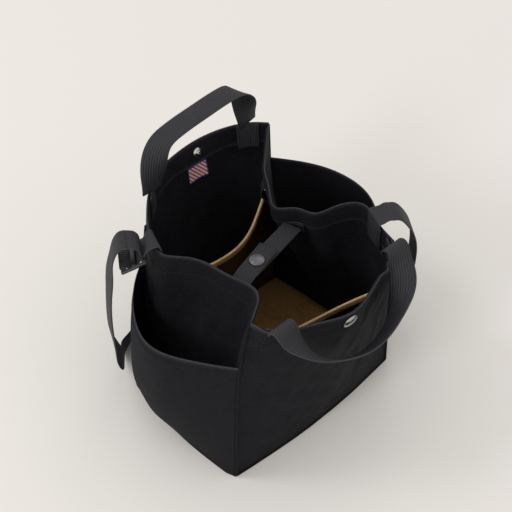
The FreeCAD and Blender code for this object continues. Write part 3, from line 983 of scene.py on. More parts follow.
FRONT_LEFT = Corner((-1, -1), (26.0, 6.0), Hang.COLLARED)
FRONT_RIGHT = Corner((1, -1), (-20.0, -8.0), Hang.PLAIN)
BACK_RIGHT = Corner((1, 1), (16.0, 28.0), Hang.PLAIN)
BACK_LEFT = Corner((-1, 1), (42.0, -1.0), Hang.PLAIN, 6.0)
FRONT_RIM = ((0.13, 11.0), (0.29, 32.0), (0.48, 46.0), (0.66, 37.0), (0.83, 21.0))
RIGHT_RIM = ((0.12, -12.0), (0.25, -5.0), (0.36, -24.0), (0.42, -44.0), (0.53, -50.0),
             (0.63, -61.0), (0.75, -50.0), (0.86, -38.0), (0.98, -18.0))
BACK_RIM = ((-0.02, 46.0), (0.08, 61.0), (0.21, 68.0), (0.37, 65.0), (0.54, 53.0), (0.67, 32.0))
LEFT_RIM = ((0.15, -28.0), (0.27, -25.0), (0.36, -40.0), (0.45, -50.0), (0.56, -54.0),
            (0.67, -60.0), (0.75, -63.0), (0.83, -56.0), (0.9, -41.0))
FRONT_FOLDS = (
    Fold((0.90, 0.97), (0.64, 0.46), 7.0, 6.2), Fold((0.95, 0.96), (0.82, 0.34), 6.0, 6.4),
    Fold((0.80, 0.98), (0.56, 0.62), 6.0, 4.8), Fold((0.99, 0.90), (0.93, 0.35), 5.0, 2.8),
    Fold((0.06, 0.80), (0.24, 0.40), 9.0, 3.0), Fold((0.30, 0.35), (0.75, 0.22), 12.0, 3.0))
FRONT = Wall(FRONT_LEFT, FRONT_RIGHT, FRONT_RIM, Hang.PLAIN, FRONT_FOLDS, 3)
RIGHT = Wall(FRONT_RIGHT, BACK_RIGHT, RIGHT_RIM, Hang.PINCHED, (Fold((0.80, 0.95), (0.66, 0.6), 7.0, 2.0),),
             5)
BACK = Wall(BACK_RIGHT, BACK_LEFT, BACK_RIM, Hang.PLAIN, (Fold((0.2, 0.9), (0.45, 0.3), 12.0, 1.6),), 7)
LEFT = Wall(BACK_LEFT, FRONT_LEFT, LEFT_RIM, Hang.PINCHED,
            (Fold((0.84, 0.93), (0.70, 0.62), 6.0, -1.8), Fold((0.25, 0.9), (0.32, 0.5), 7.0, 1.4)), 11)
WALLS = {"front": (FRONT, "front_panel", "front_rim_facing"),
         "right": (RIGHT, "right_side_panel", "right_side_rim_facing"),
         "back": (BACK, "back_panel", "back_rim_facing"),
         "left": (LEFT, "left_side_panel", "left_side_rim_facing")}


def tube(piece: Piece, path: np.ndarray, radius: float) -> bpy.types.Object:
    """Slim round cord of cloth along a seam.

    Args:
        piece: Name, body and finish.
        path: Points along the seam.
        radius: Half of its width.

    Returns:
        The object.
    """
    ways = [(place, np.array((0.3, 0.5, 0.8))) for place in path]
    return webbing(piece, ways, radius * 2.0, radius * 1.5, 4 * len(path))


class Shell:
    """Walls, floor, rim facings, seams and pockets."""

    BASE_STITCHES = 5.0

    def __init__(self, seams: Stitching) -> None:
        self.seams = seams

    def walls(self) -> None:
        """The four walls and the facing inside each rim."""
        levels = np.concatenate((np.linspace(0.0, 0.9, 40), np.linspace(0.915, 0.997, 7)))
        for name, (wall, node, facing) in WALLS.items():
            shares = np.linspace(0.0, 1.0, 110)
            outer = wall.grid(shares, levels, 0.0)
            inner = wall.grid(shares, levels, CANVAS)
            cloth(Piece(f"canvas_{name}", Body.BAG, CANVAS_CLOTH, (node,)), outer, inner)
            low = wall.level(FACING_DEPTH)
            edge = np.linspace(0.014, 0.986, 100)
            rows = np.linspace(low, 0.992, 9)
            gap = CANVAS + FACING_GAP
            cloth(Piece(f"facing_{name}", Body.BAG, CANVAS_CLOTH, (facing,)),
                  wall.grid(edge, rows, gap)[:, ::-1], wall.grid(edge, rows, gap + FACING_CLOTH)[:, ::-1],
                  0.7)
            for depth in (-0.15, gap + FACING_CLOTH + 0.12):
                for drop in (FACING_DEPTH - 2.5, 1.9):
                    self.seams.add([wall.point(share, wall.level(drop), depth) for share in edge])

    def corners(self) -> None:
        """Ridge of cloth along each corner seam and round the base."""
        for name, corner in (("front_left", FRONT_LEFT), ("front_right", FRONT_RIGHT),
                             ("back_right", BACK_RIGHT), ("back_left", BACK_LEFT)):
            path = np.array([corner.point(level, -0.5) for level in np.linspace(0.012, 0.985, 14)])
            tube(Piece(f"seam_{name}", Body.BAG, SEAM_CLOTH), path, 1.3)
        for name, (wall, _, _) in WALLS.items():
            path = np.array([wall.point(share, 0.008, -0.2) for share in np.linspace(0.0, 1.0, 16)])
            path[:, 2] = np.maximum(path[:, 2], 1.5)
            tube(Piece(f"base_seam_{name}", Body.BAG, SEAM_CLOTH), path, 1.3)
            level = self.BASE_STITCHES / PANEL_HEIGHT
            self.seams.add([wall.point(share, level, -0.12) for share in np.linspace(0.02, 0.98, 60)])

    def floor(self) -> None:
        """Bottom of canvas and the tan liner over it."""
        outline = np.vstack([[wall.point(share, 0.0, CANVAS + 0.35)[:2] for share in np.linspace(0.0, 1.0,
                                                                                                 24)[:-1]]
                             for wall in (FRONT, RIGHT, BACK, LEFT)])
        centre = outline.mean(axis=0)
        rings = np.linspace(0.02, 1.0, 14)
        count = len(outline)
        for name, low, high, finish, node in (("bottom", 0.0, CANVAS, CANVAS_CLOTH, "bottom_panel"),
                                              ("liner", CANVAS + 0.1, CANVAS + 1.4, LINING, "floor_liner")):
            points = []
            for height in (low, high):
                for ring in rings:
                    for corner in outline:
                        flat = centre + (corner - centre) * ring
                        ripple = math.sin(flat[0] / 17.0) * math.sin(flat[1] / 13.0 + 0.8)
                        sag = 0.0 if height == low else 0.6 * ripple
                        points.append((*flat, height + (sag * 0.5 + 0.25) * (finish is LINING)))
            faces = []
            steps = len(rings)
            for layer in (0, 1):
                first = layer * steps * count
                for ring in range(steps - 1):
                    for corner in range(count):
                        after = (corner + 1) % count
                        faces.append((first + ring * count + corner, first + ring * count + after,
                                      first + (ring + 1) * count + after,
                                      first + (ring + 1) * count + corner))
                faces.append(tuple(first + corner for corner in range(count)))
            rim = (steps - 1) * count
            for corner in range(count):
                after = (corner + 1) % count
                faces.append((rim + corner, rim + after, rim + after + steps * count, rim + corner
                              + steps * count))
            points = np.array(points)
            Piece(name, Body.BAG, finish, (node,)).place(points, faces, points[:, :2],
                                                         np.zeros(len(points)), set())

    def outer_pocket(self, name: str, wall: Wall, belly: float, skew: float, node: str) -> None:
        """Bellied pocket outside a side wall.

        Args:
            name: Side of the bag.
            wall: Wall behind it.
            belly: How far it stands out.
            skew: Above 1, the belly moves towards the far corner.
            node: Node that it replaces.
        """
        shares = np.linspace(0.0, 1.0, 90)
        rises = np.concatenate((np.linspace(0.0, 0.9, 30), np.linspace(0.92, 0.995, 6)))
        grids = []
        for depth in (POCKET_GAP + POCKET_CLOTH, POCKET_GAP):
            grid = []
            for share in shares:
                crown = math.sin(math.pi * share ** skew)
                swell = WALL_SWELL * math.sin(math.pi * share)
                column = []
                for rise in rises:
                    level = rise * OUTER_POCKET_HEIGHT / PANEL_HEIGHT
                    place = wall.start.point(level) * (1.0 - share) + wall.end.point(level) * share
                    fullness = 1.0 - (1.0 - rise) ** 3
                    beyond = float(np.dot(wall.point(share, level)[:2] - place[:2], wall.out))
                    room = beyond + min(2.5, 45.0 * share * (1.0 - share))
                    wave = 1.3 * math.sin(11.0 * share + 4.0 * rise + belly) * crown * rise
                    wave += 0.8 * math.sin(23.0 * share - 9.0 * rise) * crown * math.sin(math.pi * rise)
                    offset = depth + max(swell + belly * crown * fullness + wave, room)
                    place = place + np.array((*(wall.out * offset), -MOUTH_DIP * crown * rise))
                    column.append(place)
                grid.append(column)
            grids.append(np.array(grid))
        cloth(Piece(f"pocket_{name}", Body.BAG, CANVAS_CLOTH, (node,)), grids[0], grids[1], 1.3)
        outside = grids[0] + np.array((*(wall.out * 0.2), 0.0))
        for drop in (-5, -4):
            self.seams.add(outside[1:-1, drop])

    def inner_pocket(self, name: str, wall: Wall, height: float, belly: float, node: str) -> None:
        """Open pocket inside a wall. Its face towards the middle of the bag is tan cloth, coloured dark brown
        as painted shade.

        Args:
            name: Side of the bag.
            wall: Wall behind it.
            height: Height of its mouth.
            belly: How far it stands in.
            node: Node that it replaces.
        """
        shares = np.linspace(0.0, 1.0, 70)
        rises = np.concatenate((np.linspace(0.0, 0.92, 24), np.linspace(0.94, 0.995, 5)))
        floor = CANVAS + LINER + 0.6
        grids = []
        for depth in (CANVAS + POCKET_GAP, CANVAS + POCKET_GAP + POCKET_CLOTH):
            grid = []
            for share in shares:
                crown = math.sin(math.pi * share)
                column = []
                for rise in rises:
                    level = rise * height / PANEL_HEIGHT
                    place = wall.start.point(level, depth) * (1.0 - share) + wall.end.point(level,
                                                                                            depth) * share
                    wave = 1.2 * math.sin(13.0 * share + 6.0 * rise + height) * crown * rise
                    offset = belly * crown * rise ** 0.7 + wave
                    drop = floor * (1.0 - rise) - MOUTH_SAG * crown * rise
                    column.append(place + np.array((*(-wall.out * offset), drop)))
                grid.append(column)
            grids.append(np.array(grid))
        # The face towards the middle of the bag takes the dark brown lining, which is painted shade on tan
        # cloth.
        piece = Piece(f"inner_pocket_{name}", Body.BAG, CANVAS_CLOTH, (node,), SHADED_POCKET_LINING)
        cloth(piece, grids[0], grids[1], 0.0)
        middle = (grids[0][:, -1] + grids[1][:, -1]) / 2.0
        stations = [(place - UP * (BINDING_WIDTH / 2.0 - 0.8), UP) for place in middle[1:-1:4]]
        webbing(Piece(f"binding_{name}", Body.BAG, BINDING), stations, BINDING_WIDTH, POCKET_CLOTH + 2.0, 90)

    def build(self) -> None:
        """Everything that the body of the bag is sewn from."""
        self.walls()
        self.corners()
        self.floor()
        self.outer_pocket("left", LEFT, 42.0, 0.8, "left_outer_pocket")
        self.outer_pocket("right", RIGHT, 50.0, 1.25, "right_outer_pocket")
        self.inner_pocket("front", FRONT, 128.0, 34.0, "front_inner_pocket")
        self.inner_pocket("back", BACK, 142.0, 30.0, "back_inner_pocket")


def patch(piece: Piece, wall: Wall, share: float, width: float, drops: tuple, depth: float,
          thickness: float) -> None:
    """Flat piece sewn to the inside of a wall.

    Args:
        piece: Name, body and finish.
        wall: Wall that it is sewn to.
        share: Place along the wall, from 0 to 1.
        width: Its width.
        drops: Its lower and upper ends under the rim.
        depth: Distance inside the outer face, in millimetres.
        thickness: Its thickness.
    """
    shares = wall.spread(share, width)
    levels = np.linspace(wall.level(drops[0]), wall.level(drops[1]), 12)
    outer = wall.grid(shares, levels, depth)
    inner = wall.grid(shares, levels, depth + thickness)
    cloth(piece, outer, inner, 0.3)


def box_stitch(seams: Stitching, wall: Wall, share: float, width: float, drops: tuple, depth: float) -> None:
    """Square of stitches with a cross in it.

    Args:
        seams: Stitches that it joins.
        wall: Wall that it is sewn through.
        share: Place along the wall, from 0 to 1.
        width: Width of the sewn piece.
        drops: Its lower and upper ends under the rim.
        depth: Distance inside the outer face, in millimetres.
    """
    shares = wall.spread(share, width - 5.0, 2)
    low = wall.level(drops[0] - 2.5)
    high = wall.level(drops[1] + 2.5)
    corners = [(shares[0], low), (shares[1], low), (shares[1], high), (shares[0], high), (shares[0], low),
               (shares[1], high), (shares[1], low), (shares[0], high)]
    line = []
    for (first, bottom), (last, top) in zip(corners, corners[1:]):
        for part in np.linspace(0.0, 1.0, 8):
            line.append(wall.point(first + (last - first) * part, bottom + (top - bottom) * part, depth))
    seams.add(np.array(line))


def quarter(first: np.ndarray, last: np.ndarray, degrees: float) -> np.ndarray:
    """Width direction part way through a quarter turn of the webbing.

    Args:
        first: Direction at 0 degrees.
        last: Direction at 90 degrees.
        degrees: The turn.

    Returns:
        The direction.
    """
    turn = math.radians(degrees)
    return first * math.cos(turn) + last * math.sin(turn)


class Handles:
    """The standing back handle and the fallen front handle."""

    BACK_SEATS = (0.10, 0.80)
    BACK_LEG = ((0.0, 0.0, 0.0), (1.0, 8.0, 4.0), (4.0, 26.0, 35.0), (9.0, 42.0, 65.0), (17.0, 52.0, 84.0),
                (32.0, 56.0, 90.0))
    FRONT_SEATS = (0.14, 0.93)
    FRONT_FALL = 42.0
    FRONT_REACH = 64.0
    FRONT_CURVE = ((14.0, 11.0, 10.0), (28.0, 9.0, 34.0), (46.0, 5.0, 64.0), (68.0, 0.5, 86.0),
                   (90.0, -2.0, 90.0),
                   (112.0, 0.5, 86.0), (134.0, 5.0, 64.0), (152.0, 9.0, 34.0), (166.0, 11.0, 10.0))
    FOLDS = ((0.0, 0.0), (0.6, 3.5), (7.0, 7.0))

    def __init__(self, seams: Stitching) -> None:
        self.seams = seams

    def ends(self, name: str, wall: Wall, shares: tuple, node: str) -> None:
        """Sewn ends of one handle inside the rim.

        Args:
            name: Which handle.
            wall: Wall that carries it.
            shares: Places of its ends.
            node: Node that they replace.
        """
        for number, share in enumerate(shares):
            nodes = (node,) if number == 0 else ()
            patch(Piece(f"{name}_end_{number}", Body.BAG, STRAP_CLOTH, nodes), wall, share, WEBBING,
                  SEWN_DROPS,
                  SEWN_DEPTH, WEBBING_THICKNESS)
            box_stitch(self.seams, wall, share, WEBBING, SEWN_STITCHES, SEWN_DEPTH + WEBBING_THICKNESS
                       + THREAD_LIFT)
            box_stitch(self.seams, wall, share, WEBBING, SEWN_STITCHES, -THREAD_LIFT)

    def back(self) -> None:
        """Handle that stands up over the back wall."""
        self.ends("back_handle", BACK, self.BACK_SEATS, "back_handle_ends")
        seats = [BACK.crest(share, WEBBING, 0.8) for share in self.BACK_SEATS]
        span = seats[1] - seats[0]
        length = np.linalg.norm(span)
        span /= length
        side = np.cross(span, UP)
        stations = [(seats[0] + span * across + UP * rise, quarter(span, side, turn))
                    for across, rise, turn in self.BACK_LEG]
        top = self.BACK_LEG[-1][1] + 1.0
        stations += [(seats[0] + span * (share * length) + UP * top, side) for share in (0.35, 0.5, 0.65)]
        stations += [(seats[1] - span * across + UP * rise, quarter(span, side, turn))
                     for across, rise, turn in reversed(self.BACK_LEG)]
        webbing(Piece("back_carry_handle", Body.BACK_HANDLE, STRAP_CLOTH, ("back_handle",)), stations,
                WEBBING, WEBBING_THICKNESS, 140)

    def front(self) -> None:
        """Handle that has fallen outwards over the front wall."""
        self.ends("front_handle", FRONT, self.FRONT_SEATS, "front_handle_ends")
        seats = [FRONT.crest(share, WEBBING, 1.4) for share in self.FRONT_SEATS]
        span = seats[1] - seats[0]
        length = np.linalg.norm(span)
        span /= length
        fall = math.radians(self.FRONT_FALL)
        outward = np.array((span[1], -span[0], 0.0))
        reach_way = outward * math.cos(fall) - UP * math.sin(fall)
        face = np.cross(span, reach_way)
        middle = (seats[0] + seats[1]) / 2.0
        stations = [(seats[0] + outward * out + UP * lift, span) for out, lift in self.FOLDS]
        for angle, lift, turn in self.FRONT_CURVE:
            bend = math.radians(angle)
            reach = math.sin(bend) ** 0.85 * self.FRONT_REACH
            place = middle - span * (math.cos(bend) * length / 2.0) + reach_way * reach + UP * lift
            stations.append((place, quarter(span if angle < 90.0 else -span, face, turn)))
        stations += [(seats[1] + outward * out + UP * lift, -span) for out, lift in reversed(self.FOLDS)]
        webbing(Piece("front_carry_handle", Body.FRONT_HANDLE, STRAP_CLOTH, ("front_handle",)), stations,
                WEBBING, WEBBING_THICKNESS, 170)

    def build(self) -> None:
        """Both handles."""
        self.back()
        self.front()


CAP_OUTLINE = [(0.0, 0.0), (6.9, 0.0), (7.5, 0.35), (7.6, 0.8), (7.35, 1.15), (6.9, 1.3), (6.6, 1.25),
               (6.2, 1.5),
               (4.8, 2.05), (3.0, 2.42), (1.4, 2.57), (0.0, 2.6)]

POST_OUTLINE = [(1.2, 0.0), (4.5, 0.0), (4.6, 0.3), (4.1, 0.8), (1.6, 0.8), (1.2, 0.5)]


class Closure:
    """Snap strap across the mouth and the snap of the rim."""

    MIDDLE = np.array((-10.0, -10.5, 175.4))
    DROP = 19.0
    SEAT = 13.0
    PITCH = 3.4

    def __init__(self, seams: Stitching) -> None:
        self.seams = seams

    def half(self, name: str, body: Body, wall: Wall, share: float, lift: float, tail: float,
             nodes: tuple) -> None:
        """One half of the strap and its sewn seat.

        Args:
            name: Which half.
            body: Body that it moves with.
            wall: Wall that it is sewn to.
            share: Place along the wall, from 0 to 1.
            lift: Height over the middle of the snap.
            tail: Length past the snap.
            nodes: Nodes of the seat and the strap.
        """
        patch(Piece(f"closure_{name}_end", Body.BAG, NARROW_CLOTH, (nodes[0],)), wall, share, CLOSURE,
              (self.DROP + self.SEAT, self.DROP), SEWN_DEPTH, CLOSURE_THICKNESS)
        box_stitch(self.seams, wall, share, CLOSURE, (self.DROP + self.SEAT, self.DROP),
                   SEWN_DEPTH + CLOSURE_THICKNESS + THREAD_LIFT)
        level = self.MIDDLE + UP * lift
        depth = SEWN_DEPTH + CLOSURE_THICKNESS
        height = wall.level(self.DROP + 1.0)
        seat = wall.point(share, height, depth)
        run = np.array((level[0] - seat[0], level[1] - seat[1], 0.0))
        run /= np.linalg.norm(run)
        across = np.array((-run[1], run[0], 0.0))
        beyond = max(float(np.dot(wall.point(part, height, depth) - seat, run))
                     for part in wall.spread(share, CLOSURE, 5))
        start = seat + run * (beyond + 0.6)
        stations = [(start, across), (level - run * 16.0, across), (level - run * 8.0, across),
                    (level, across),
                    (level + run * (tail / 2.0), across), (level + run * tail, across)]
        webbing(Piece(f"closure_{name}_webbing", body, NARROW_CLOTH, (nodes[1],)), stations, CLOSURE,
                CLOSURE_THICKNESS, 60)
        thread = Stitching(self.seams.group)
        top = UP * (CLOSURE_THICKNESS / 2.0 + 0.12)
        for edge in (-0.5, 0.5):
            line = [level + run * step + across * (edge * (CLOSURE - 4.0)) + top
                    for step in np.linspace(tail - 9.0, tail - 2.0, 5)]
            thread.add(np.array(line))
        thread.add(np.array([level + run * (tail - 2.0) + across * step
                             + top for step in np.linspace(-8.0, 8.0, 8)]))
        thread.sew(Piece(f"closure_{name}_thread", body, THREAD))

    def snap(self) -> None:
        """Snap of the strap: cap and socket on one half, stud and washer on the other."""
        half = CLOSURE_THICKNESS / 2.0 + 0.1
        space = self.PITCH - CLOSURE_THICKNESS
        middle = self.MIDDLE
        turned(Piece("strap_snap_cap", Body.CAP_HALF, DARK_METAL, ("closure_snap_cap",)), CAP_OUTLINE,
               middle + UP * (self.PITCH + half), UP, 56)
        height = space - 0.9
        turned(Piece("strap_snap_socket", Body.CAP_HALF, BRIGHT_METAL, ("closure_snap_socket",)),
               [(2.7, 0.0), (5.5, 0.0), (5.6, 0.5 * height), (5.1, 0.9 * height), (4.8, height),
                (2.7, height)],
               middle + UP * (self.PITCH - half), -UP)
        height = space - 0.4
        turned(Piece("strap_snap_stud", Body.STUD_HALF, BRIGHT_METAL, ("closure_snap_stud",)),
               [(0.0, 0.0), (4.4, 0.0), (4.4, 0.3), (2.0, 0.42), (2.0, 0.8), (2.4, 1.2), (2.2, height),
                (0.0, height)],
               middle + UP * half, UP)
        turned(Piece("strap_snap_post", Body.STUD_HALF, BRIGHT_METAL, ("closure_snap_post",)),
               POST_OUTLINE, middle - UP * half, -UP)

    def rim_snap(self) -> None:
        """Snap that draws the rim together, one half on each long wall."""
        drop = 12.0
        for wall, share, finish in ((FRONT, 0.49, BRIGHT_METAL), (BACK, 0.37, BRIGHT_METAL)):
            level = wall.level(drop)
            first = wall.point(share - 0.01, level)
            ahead = wall.point(share + 0.01, level) - first
            above = wall.point(share, level + 0.02) - wall.point(share, level - 0.02)
            normal = np.cross(ahead, above)
            normal /= np.linalg.norm(normal)
            outside = wall.point(share, level, -0.15)
            inside = wall.point(share, level, SEWN_DEPTH)
            if wall is FRONT:
                turned(Piece("rim_cap", Body.BAG, finish, ("rim_snap_cap",)), CAP_OUTLINE, outside, normal,
                       56)
                turned(Piece("rim_socket", Body.BAG, finish, ("rim_snap_socket",)),
                       [(2.7, 0.0), (5.5, 0.0), (5.6, 1.3), (5.1, 2.2), (4.8, 2.4), (2.7, 2.4)], inside,
                       -normal)
            else:
                turned(Piece("rim_stud", Body.BAG, finish, ("rim_snap_stud",)),
                       [(0.0, 0.0), (5.4, 0.0), (5.6, 0.3), (5.2, 0.7), (2.1, 0.7), (2.0, 1.3), (2.4, 2.0),
                        (2.2, 3.0), (0.0, 3.0)], inside, -normal)
                turned(Piece("rim_post", Body.BAG, finish, ("rim_snap_post",)),
                       POST_OUTLINE, outside, normal)

    def build(self) -> None:
        """The strap across the mouth and both snaps."""
        self.half("cap", Body.CAP_HALF, LEFT, 0.62, self.PITCH, 23.0,
                  ("closure_cap_seat", "closure_cap_strap"))
        self.half("stud", Body.STUD_HALF, RIGHT, 0.47, 0.0, 15.0, ("closure_stud_seat", "closure_stud_strap"))
        self.snap()
        self.rim_snap()


class Trim:
    """Label and tool loop inside the bag."""

    def __init__(self, seams: Stitching) -> None:
        self.seams = seams

    def build(self) -> None:
        """Both pieces."""
        label = Piece("small_label", Body.BAG, LABEL_CLOTH, ("woven_label",))
        shares = BACK.spread(0.385, 28.0, 13)
        levels = np.linspace(BACK.level(41.0), BACK.level(23.0), 9)
        cloth(label, BACK.grid(shares, levels, CANVAS + 0.1), BACK.grid(shares, levels, CANVAS + 0.7), 0.0)
        shares = RIGHT.spread(0.84, 20.0, 7)
        heights = np.linspace(1.0, 0.0, 30)
        grids = []
        for layer in (CANVAS + 0.6, CANVAS + 0.6 + CLOSURE_THICKNESS):
            grids.append(np.array([[RIGHT.point(share, RIGHT.level(36.0 + 42.0 * height),
                                                layer + 9.0 * math.sin(math.pi * height) ** 2)
                                    for height in heights] for share in shares]))
        cloth(Piece("loop", Body.BAG, NARROW_CLOTH, ("tool_loop",)), grids[0], grids[1], 0.3)


class ShoulderStrap:
    """Long strap behind the bag, its slider and its sewn ends."""

    CENTRE = np.array((-98.2, 66.3, 190.0))
    LENGTH = 27.0
    WIDTH = 34.0
    THICKNESS = 3.2
    BAR = 5.0
    SLOT = 27.0
    TILT = 25.0
    LAP = 1.5
    PATH = (((-134.0, -2.2, 206.0), 0), ((-138.5, -2.4, 192.0), 0), ((-141.5, -2.8, 174.0), 3),
            ((-144.5, -3.2, 150.0), 3), ((-147.0, -3.0, 115.0), 3), ((-146.5, -1.0, 75.0), 3),
            ((-143.0, 4.0, 45.0), 1), ((-140.0, 16.0, 25.0), 1), ((-138.0, 36.0, 15.0), 2),
            ((-110.0, 78.0, 14.0), 2), ((-70.0, 122.0, 13.6), 2), ((-20.0, 160.0, 13.6), 2),
            ((35.0, 176.0, 13.6), 2), ((82.0, 172.0, 13.6), 2), ((125.0, 148.0, 13.6), 2),
            ((148.0, 108.0, 14.0), 2), ((153.0, 62.0, 16.2), 2), ((154.0, 40.0, 25.5), 1),
            ((154.5, 28.0, 45.0), 1), ((156.0, 22.0, 72.0), 0), ((157.0, 12.0, 115.0), 0),
            ((156.0, 2.0, 155.0), 0), ((151.0, -2.0, 188.0), 0), ((141.0, -2.5, 207.0), 0))

    def __init__(self, seams: Stitching) -> None:
        self.seams = seams
        line = (RIGHT_PIVOT - LEFT_PIVOT)[:2]
        line = line / np.linalg.norm(line)
        self.line = np.array((line[0], line[1], 0.0))
        self.side = np.array((-line[1], line[0], 0.0))
        self.up = np.array((0.0, 0.0, 1.0))

    def place(self, along: float, across: float, height: float) -> np.ndarray:
        """Point along and across the line between the strap's ends.

        Args:
            along: Distance towards the right pivot.
            across: Distance towards the back.
            height: Height over the floor.

        Returns:
            The point, in millimetres.
        """
        return self.line * along + self.side * across + self.up * height

    def slider(self) -> np.ndarray:
        """Three-bar slider with rounded bars. Returns the middle of its inner bar."""
        tilt = math.radians(self.TILT)
        down = -self.line * math.cos(tilt) - self.up * math.sin(tilt)
        work = bmesh.new()
        gap = (self.LENGTH - 3.0 * self.BAR) / 2.0
        rail = (self.WIDTH - self.SLOT) / 2.0
        boxes = [((self.LENGTH, rail), (0.0, side * (self.WIDTH - rail) / 2.0)) for side in (-1.0, 1.0)]
        boxes += [((self.BAR, self.SLOT + 0.8), (step * (self.BAR + gap), 0.0)) for step in (-1.0, 0.0, 1.0)]
        thick = self.THICKNESS
        for (length, width), (x, y) in boxes:
            made = bmesh.ops.create_cube(work, size=1.0)["verts"]
            bmesh.ops.scale(work, vec=(length, width, thick), verts=made)
            bmesh.ops.translate(work, vec=(x, y, 0.0), verts=made)
            edges = list({edge for vert in made for edge in vert.link_edges})
            bmesh.ops.bevel(work, geom=edges, offset=1.05, segments=3, affect="EDGES", profile=0.5)
        normal = np.cross(down, self.side)
        turn = Matrix((down, self.side, normal)).transposed().to_4x4()
        turn.translation = Vector(self.CENTRE)
        bmesh.ops.transform(work, matrix=turn, verts=work.verts)
        bmesh.ops.scale(work, vec=(MM, MM, MM), verts=work.verts)
        bmesh.ops.recalc_face_normals(work, faces=work.faces)
        mesh = bpy.data.meshes.new("slider_frame")
        work.to_mesh(mesh)
        work.free()
        mesh.materials.append(PALETTE.of(PLASTIC))
        mesh.shade_smooth()
        piece = Piece("slider_frame", Body.BAG, PLASTIC, ("strap_slider",))
        piece.settle(bpy.data.objects.new("slider_frame", mesh))
        bar = self.LENGTH / 2.0 - self.BAR / 2.0
        under = thick / 2.0 + WEBBING_THICKNESS / 2.0 + 0.3
        weave = ((bar + 2.5, -under), (bar, -under), (bar / 2.0, 0.0), (0.0, under), (-bar / 2.0, 0.0),
                 (-bar, -under))
        stations = [(self.CENTRE + down * run + normal * rise, self.side) for run, rise in weave]
        webbing(Piece("strap_tail", Body.BAG, STRAP_CLOTH), stations, WEBBING, WEBBING_THICKNESS, 50)
        return self.CENTRE - down * bar

    def sewn(self, name: str, wall: Wall, share: float, node: str) -> np.ndarray:
        """Sewn end inside a wall. Returns where its webbing leaves the rim."""
        patch(Piece(name, Body.BAG, STRAP_CLOTH, (node,)), wall, share, WEBBING, SEWN_DROPS, SEWN_DEPTH,
              WEBBING_THICKNESS)
        box_stitch(self.seams, wall, share, WEBBING, SEWN_STITCHES, SEWN_DEPTH + WEBBING_THICKNESS
                   + THREAD_LIFT)
        return wall.crest(share, WEBBING, 0.9)

    def left_end(self) -> None:
        """Slider, the loop that holds it and the lead over it."""
        bar = self.slider()
        lift = self.THICKNESS / 2.0 + WEBBING_THICKNESS / 2.0 + 1.0
        seat = self.sewn("slider_loop_end", LEFT, 0.16, "buckle_loop_end") + self.up * 0.9
        top = bar + self.up * lift
        out = -self.line
        way = -LEFT.way(0.16)
        stations = [(seat, way), (seat + self.up * 4.0 + out, way),
                    (seat * 0.45 + top * 0.55 + self.up * 6.0, self.side), (top, self.side)]
        webbing(Piece("slider_loop", Body.BAG, STRAP_CLOTH, ("buckle_loop",)), stations, WEBBING,
                WEBBING_THICKNESS, 50)
        start = top + self.up * (WEBBING_THICKNESS + 0.3) + out * 2.5
        stations = [(start, self.side), (start + out * 1.5 + self.up * 7.0, self.side),
                    (LEFT_PIVOT - out * 6.0 - self.up * 1.5, self.side),
                    (LEFT_PIVOT + out * self.LAP - self.up * 0.1, self.side)]
        webbing(Piece("strap_lead", Body.BAG, STRAP_CLOTH, ("shoulder_strap_lead",)), stations, WEBBING,
                WEBBING_THICKNESS, 50)

    def right_end(self) -> None:
        """Sewn end inside the right wall."""
        seat = self.sewn("strap_end_seat", RIGHT, 0.10, "shoulder_strap_seat")
        way = RIGHT.way(0.10)
        back = -self.line
        stations = [(seat, way), (seat + self.up * 4.0, way),
                    ((seat + RIGHT_PIVOT) / 2.0 + self.up * 3.0, self.side),
                    (RIGHT_PIVOT + back * 5.0 - self.up * 0.3, self.side),
                    (RIGHT_PIVOT - back * self.LAP - self.up * 0.1, self.side)]
        webbing(Piece("strap_end", Body.BAG, STRAP_CLOTH, ("shoulder_strap_end",)), stations, WEBBING,
                WEBBING_THICKNESS, 50)

    def loop(self) -> None:
        """The long run of the strap."""
        ways = (self.side, self.side + self.up, self.up, self.side - self.line * 0.15)
        stations = [(LEFT_PIVOT, self.side), (LEFT_PIVOT - self.line * 5.0 - self.up * 0.3, self.side)]
        stations += [(self.place(*place), ways[way]) for place, way in self.PATH]
        stations += [(RIGHT_PIVOT + self.line * 5.0 - self.up * 0.3, self.side), (RIGHT_PIVOT, self.side)]
        webbing(Piece("long_strap", Body.STRAP, STRAP_CLOTH, ("shoulder_strap",)), stations, WEBBING,
                WEBBING_THICKNESS, 420)

    def build(self) -> None:
        """The whole strap."""
        self.left_end()
        self.right_end()
        self.loop()


# Studio


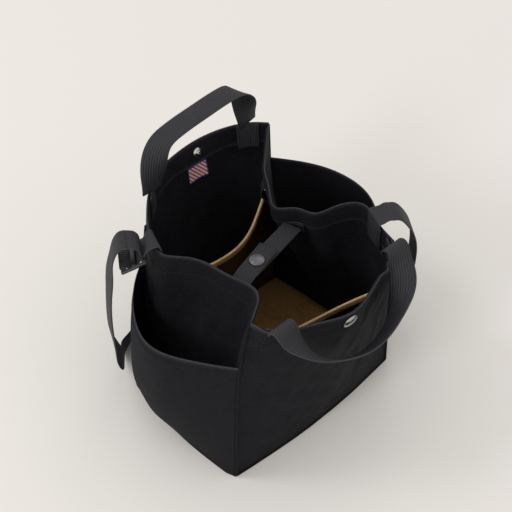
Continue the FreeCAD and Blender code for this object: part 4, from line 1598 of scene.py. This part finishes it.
class Studio:
    """Pale floor, soft light and the camera."""

    EYE = Vector((-0.5629, -0.5947, 0.9984))
    RIGHT = Vector((0.7270, -0.6866, 0.0))
    UP = Vector((0.4880, 0.5163, 0.7030))
    LENS = 84.87
    FLOOR_REACH = 40.0

    def floor(self) -> None:
        """Large pale floor that meets no wall."""
        mesh = bpy.data.meshes.new("studio_floor")
        reach = self.FLOOR_REACH
        corners = [(-reach, -reach, 0.0), (reach, -reach, 0.0), (reach, reach, 0.0), (-reach, reach, 0.0)]
        mesh.from_pydata(corners, [], [(0, 1, 2, 3)])
        shader = Shader("studio_paper")
        shader.colour(shader.mix(shader.noise(3.0), (0.775, 0.752, 0.72), (0.79, 0.767, 0.735)))
        shader.constant("Roughness", 0.95)
        shader.constant("Specular IOR Level", 0.1)
        mesh.materials.append(shader.material)
        piece = bpy.data.objects.new("studio_floor", mesh)
        bpy.context.scene.collection.objects.link(piece)

    def light(self, name: str, place: tuple, size: float, power: float) -> None:
        """Soft area light aimed at the bag.

        Args:
            name: Name of the light.
            place: Where it stands, in metres.
            size: Its width, in metres.
            power: Its power, in watts.
        """
        data = bpy.data.lights.new(name, "AREA")
        data.shape = "DISK"
        data.size = size
        data.energy = power
        lamp = bpy.data.objects.new(name, data)
        lamp.location = place
        lamp.rotation_euler = (Vector((0.0, 0.0, 0.1)) - Vector(place)).to_track_quat("-Z", "Y").to_euler()
        bpy.context.scene.collection.objects.link(lamp)

    def world(self) -> None:
        """Even pale surroundings."""
        world = bpy.data.worlds.new("studio")
        world.use_nodes = True
        background = world.node_tree.nodes["Background"]
        background.inputs["Color"].default_value = (1.0, 0.985, 0.96, 1.0)
        background.inputs["Strength"].default_value = 0.86
        bpy.context.scene.world = world

    def camera(self) -> None:
        """Camera at the photograph's angle."""
        data = bpy.data.cameras.new("view")
        data.lens = self.LENS
        data.sensor_width = 36.0
        camera = bpy.data.objects.new("view", data)
        back = self.RIGHT.cross(self.UP)
        turn = Matrix((self.RIGHT, self.UP, back)).transposed().to_4x4()
        turn.translation = self.EYE
        camera.matrix_world = turn
        bpy.context.scene.collection.objects.link(camera)
        bpy.context.scene.camera = camera

    def build(self) -> None:
        """Everything round the bag."""
        self.floor()
        self.light("key", (-1.8, 1.7, 3.2), 1.1, 20.0)
        self.light("fill", (-3.1, -0.3, 2.0), 1.1, 30.0)
        self.light("side", (2.8, 0.4, 2.8), 2.6, 6.0)
        self.world()
        self.camera()
        view = bpy.context.scene.view_settings
        view.view_transform = "Standard"
        view.look = "None"


def main() -> None:
    """Builds the bag and the studio round it."""
    logging.basicConfig(level=logging.INFO)
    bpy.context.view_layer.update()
    seams = Stitching(stitch_group())
    for maker in (Shell(seams), Handles(seams), Closure(seams), Trim(seams), ShoulderStrap(seams)):
        maker.build()
        log.info("built %s", type(maker).__name__)
    seams.sew(Piece("bag_thread", Body.BAG, THREAD))
    Studio().build()


if __name__ == "__main__":
    main()
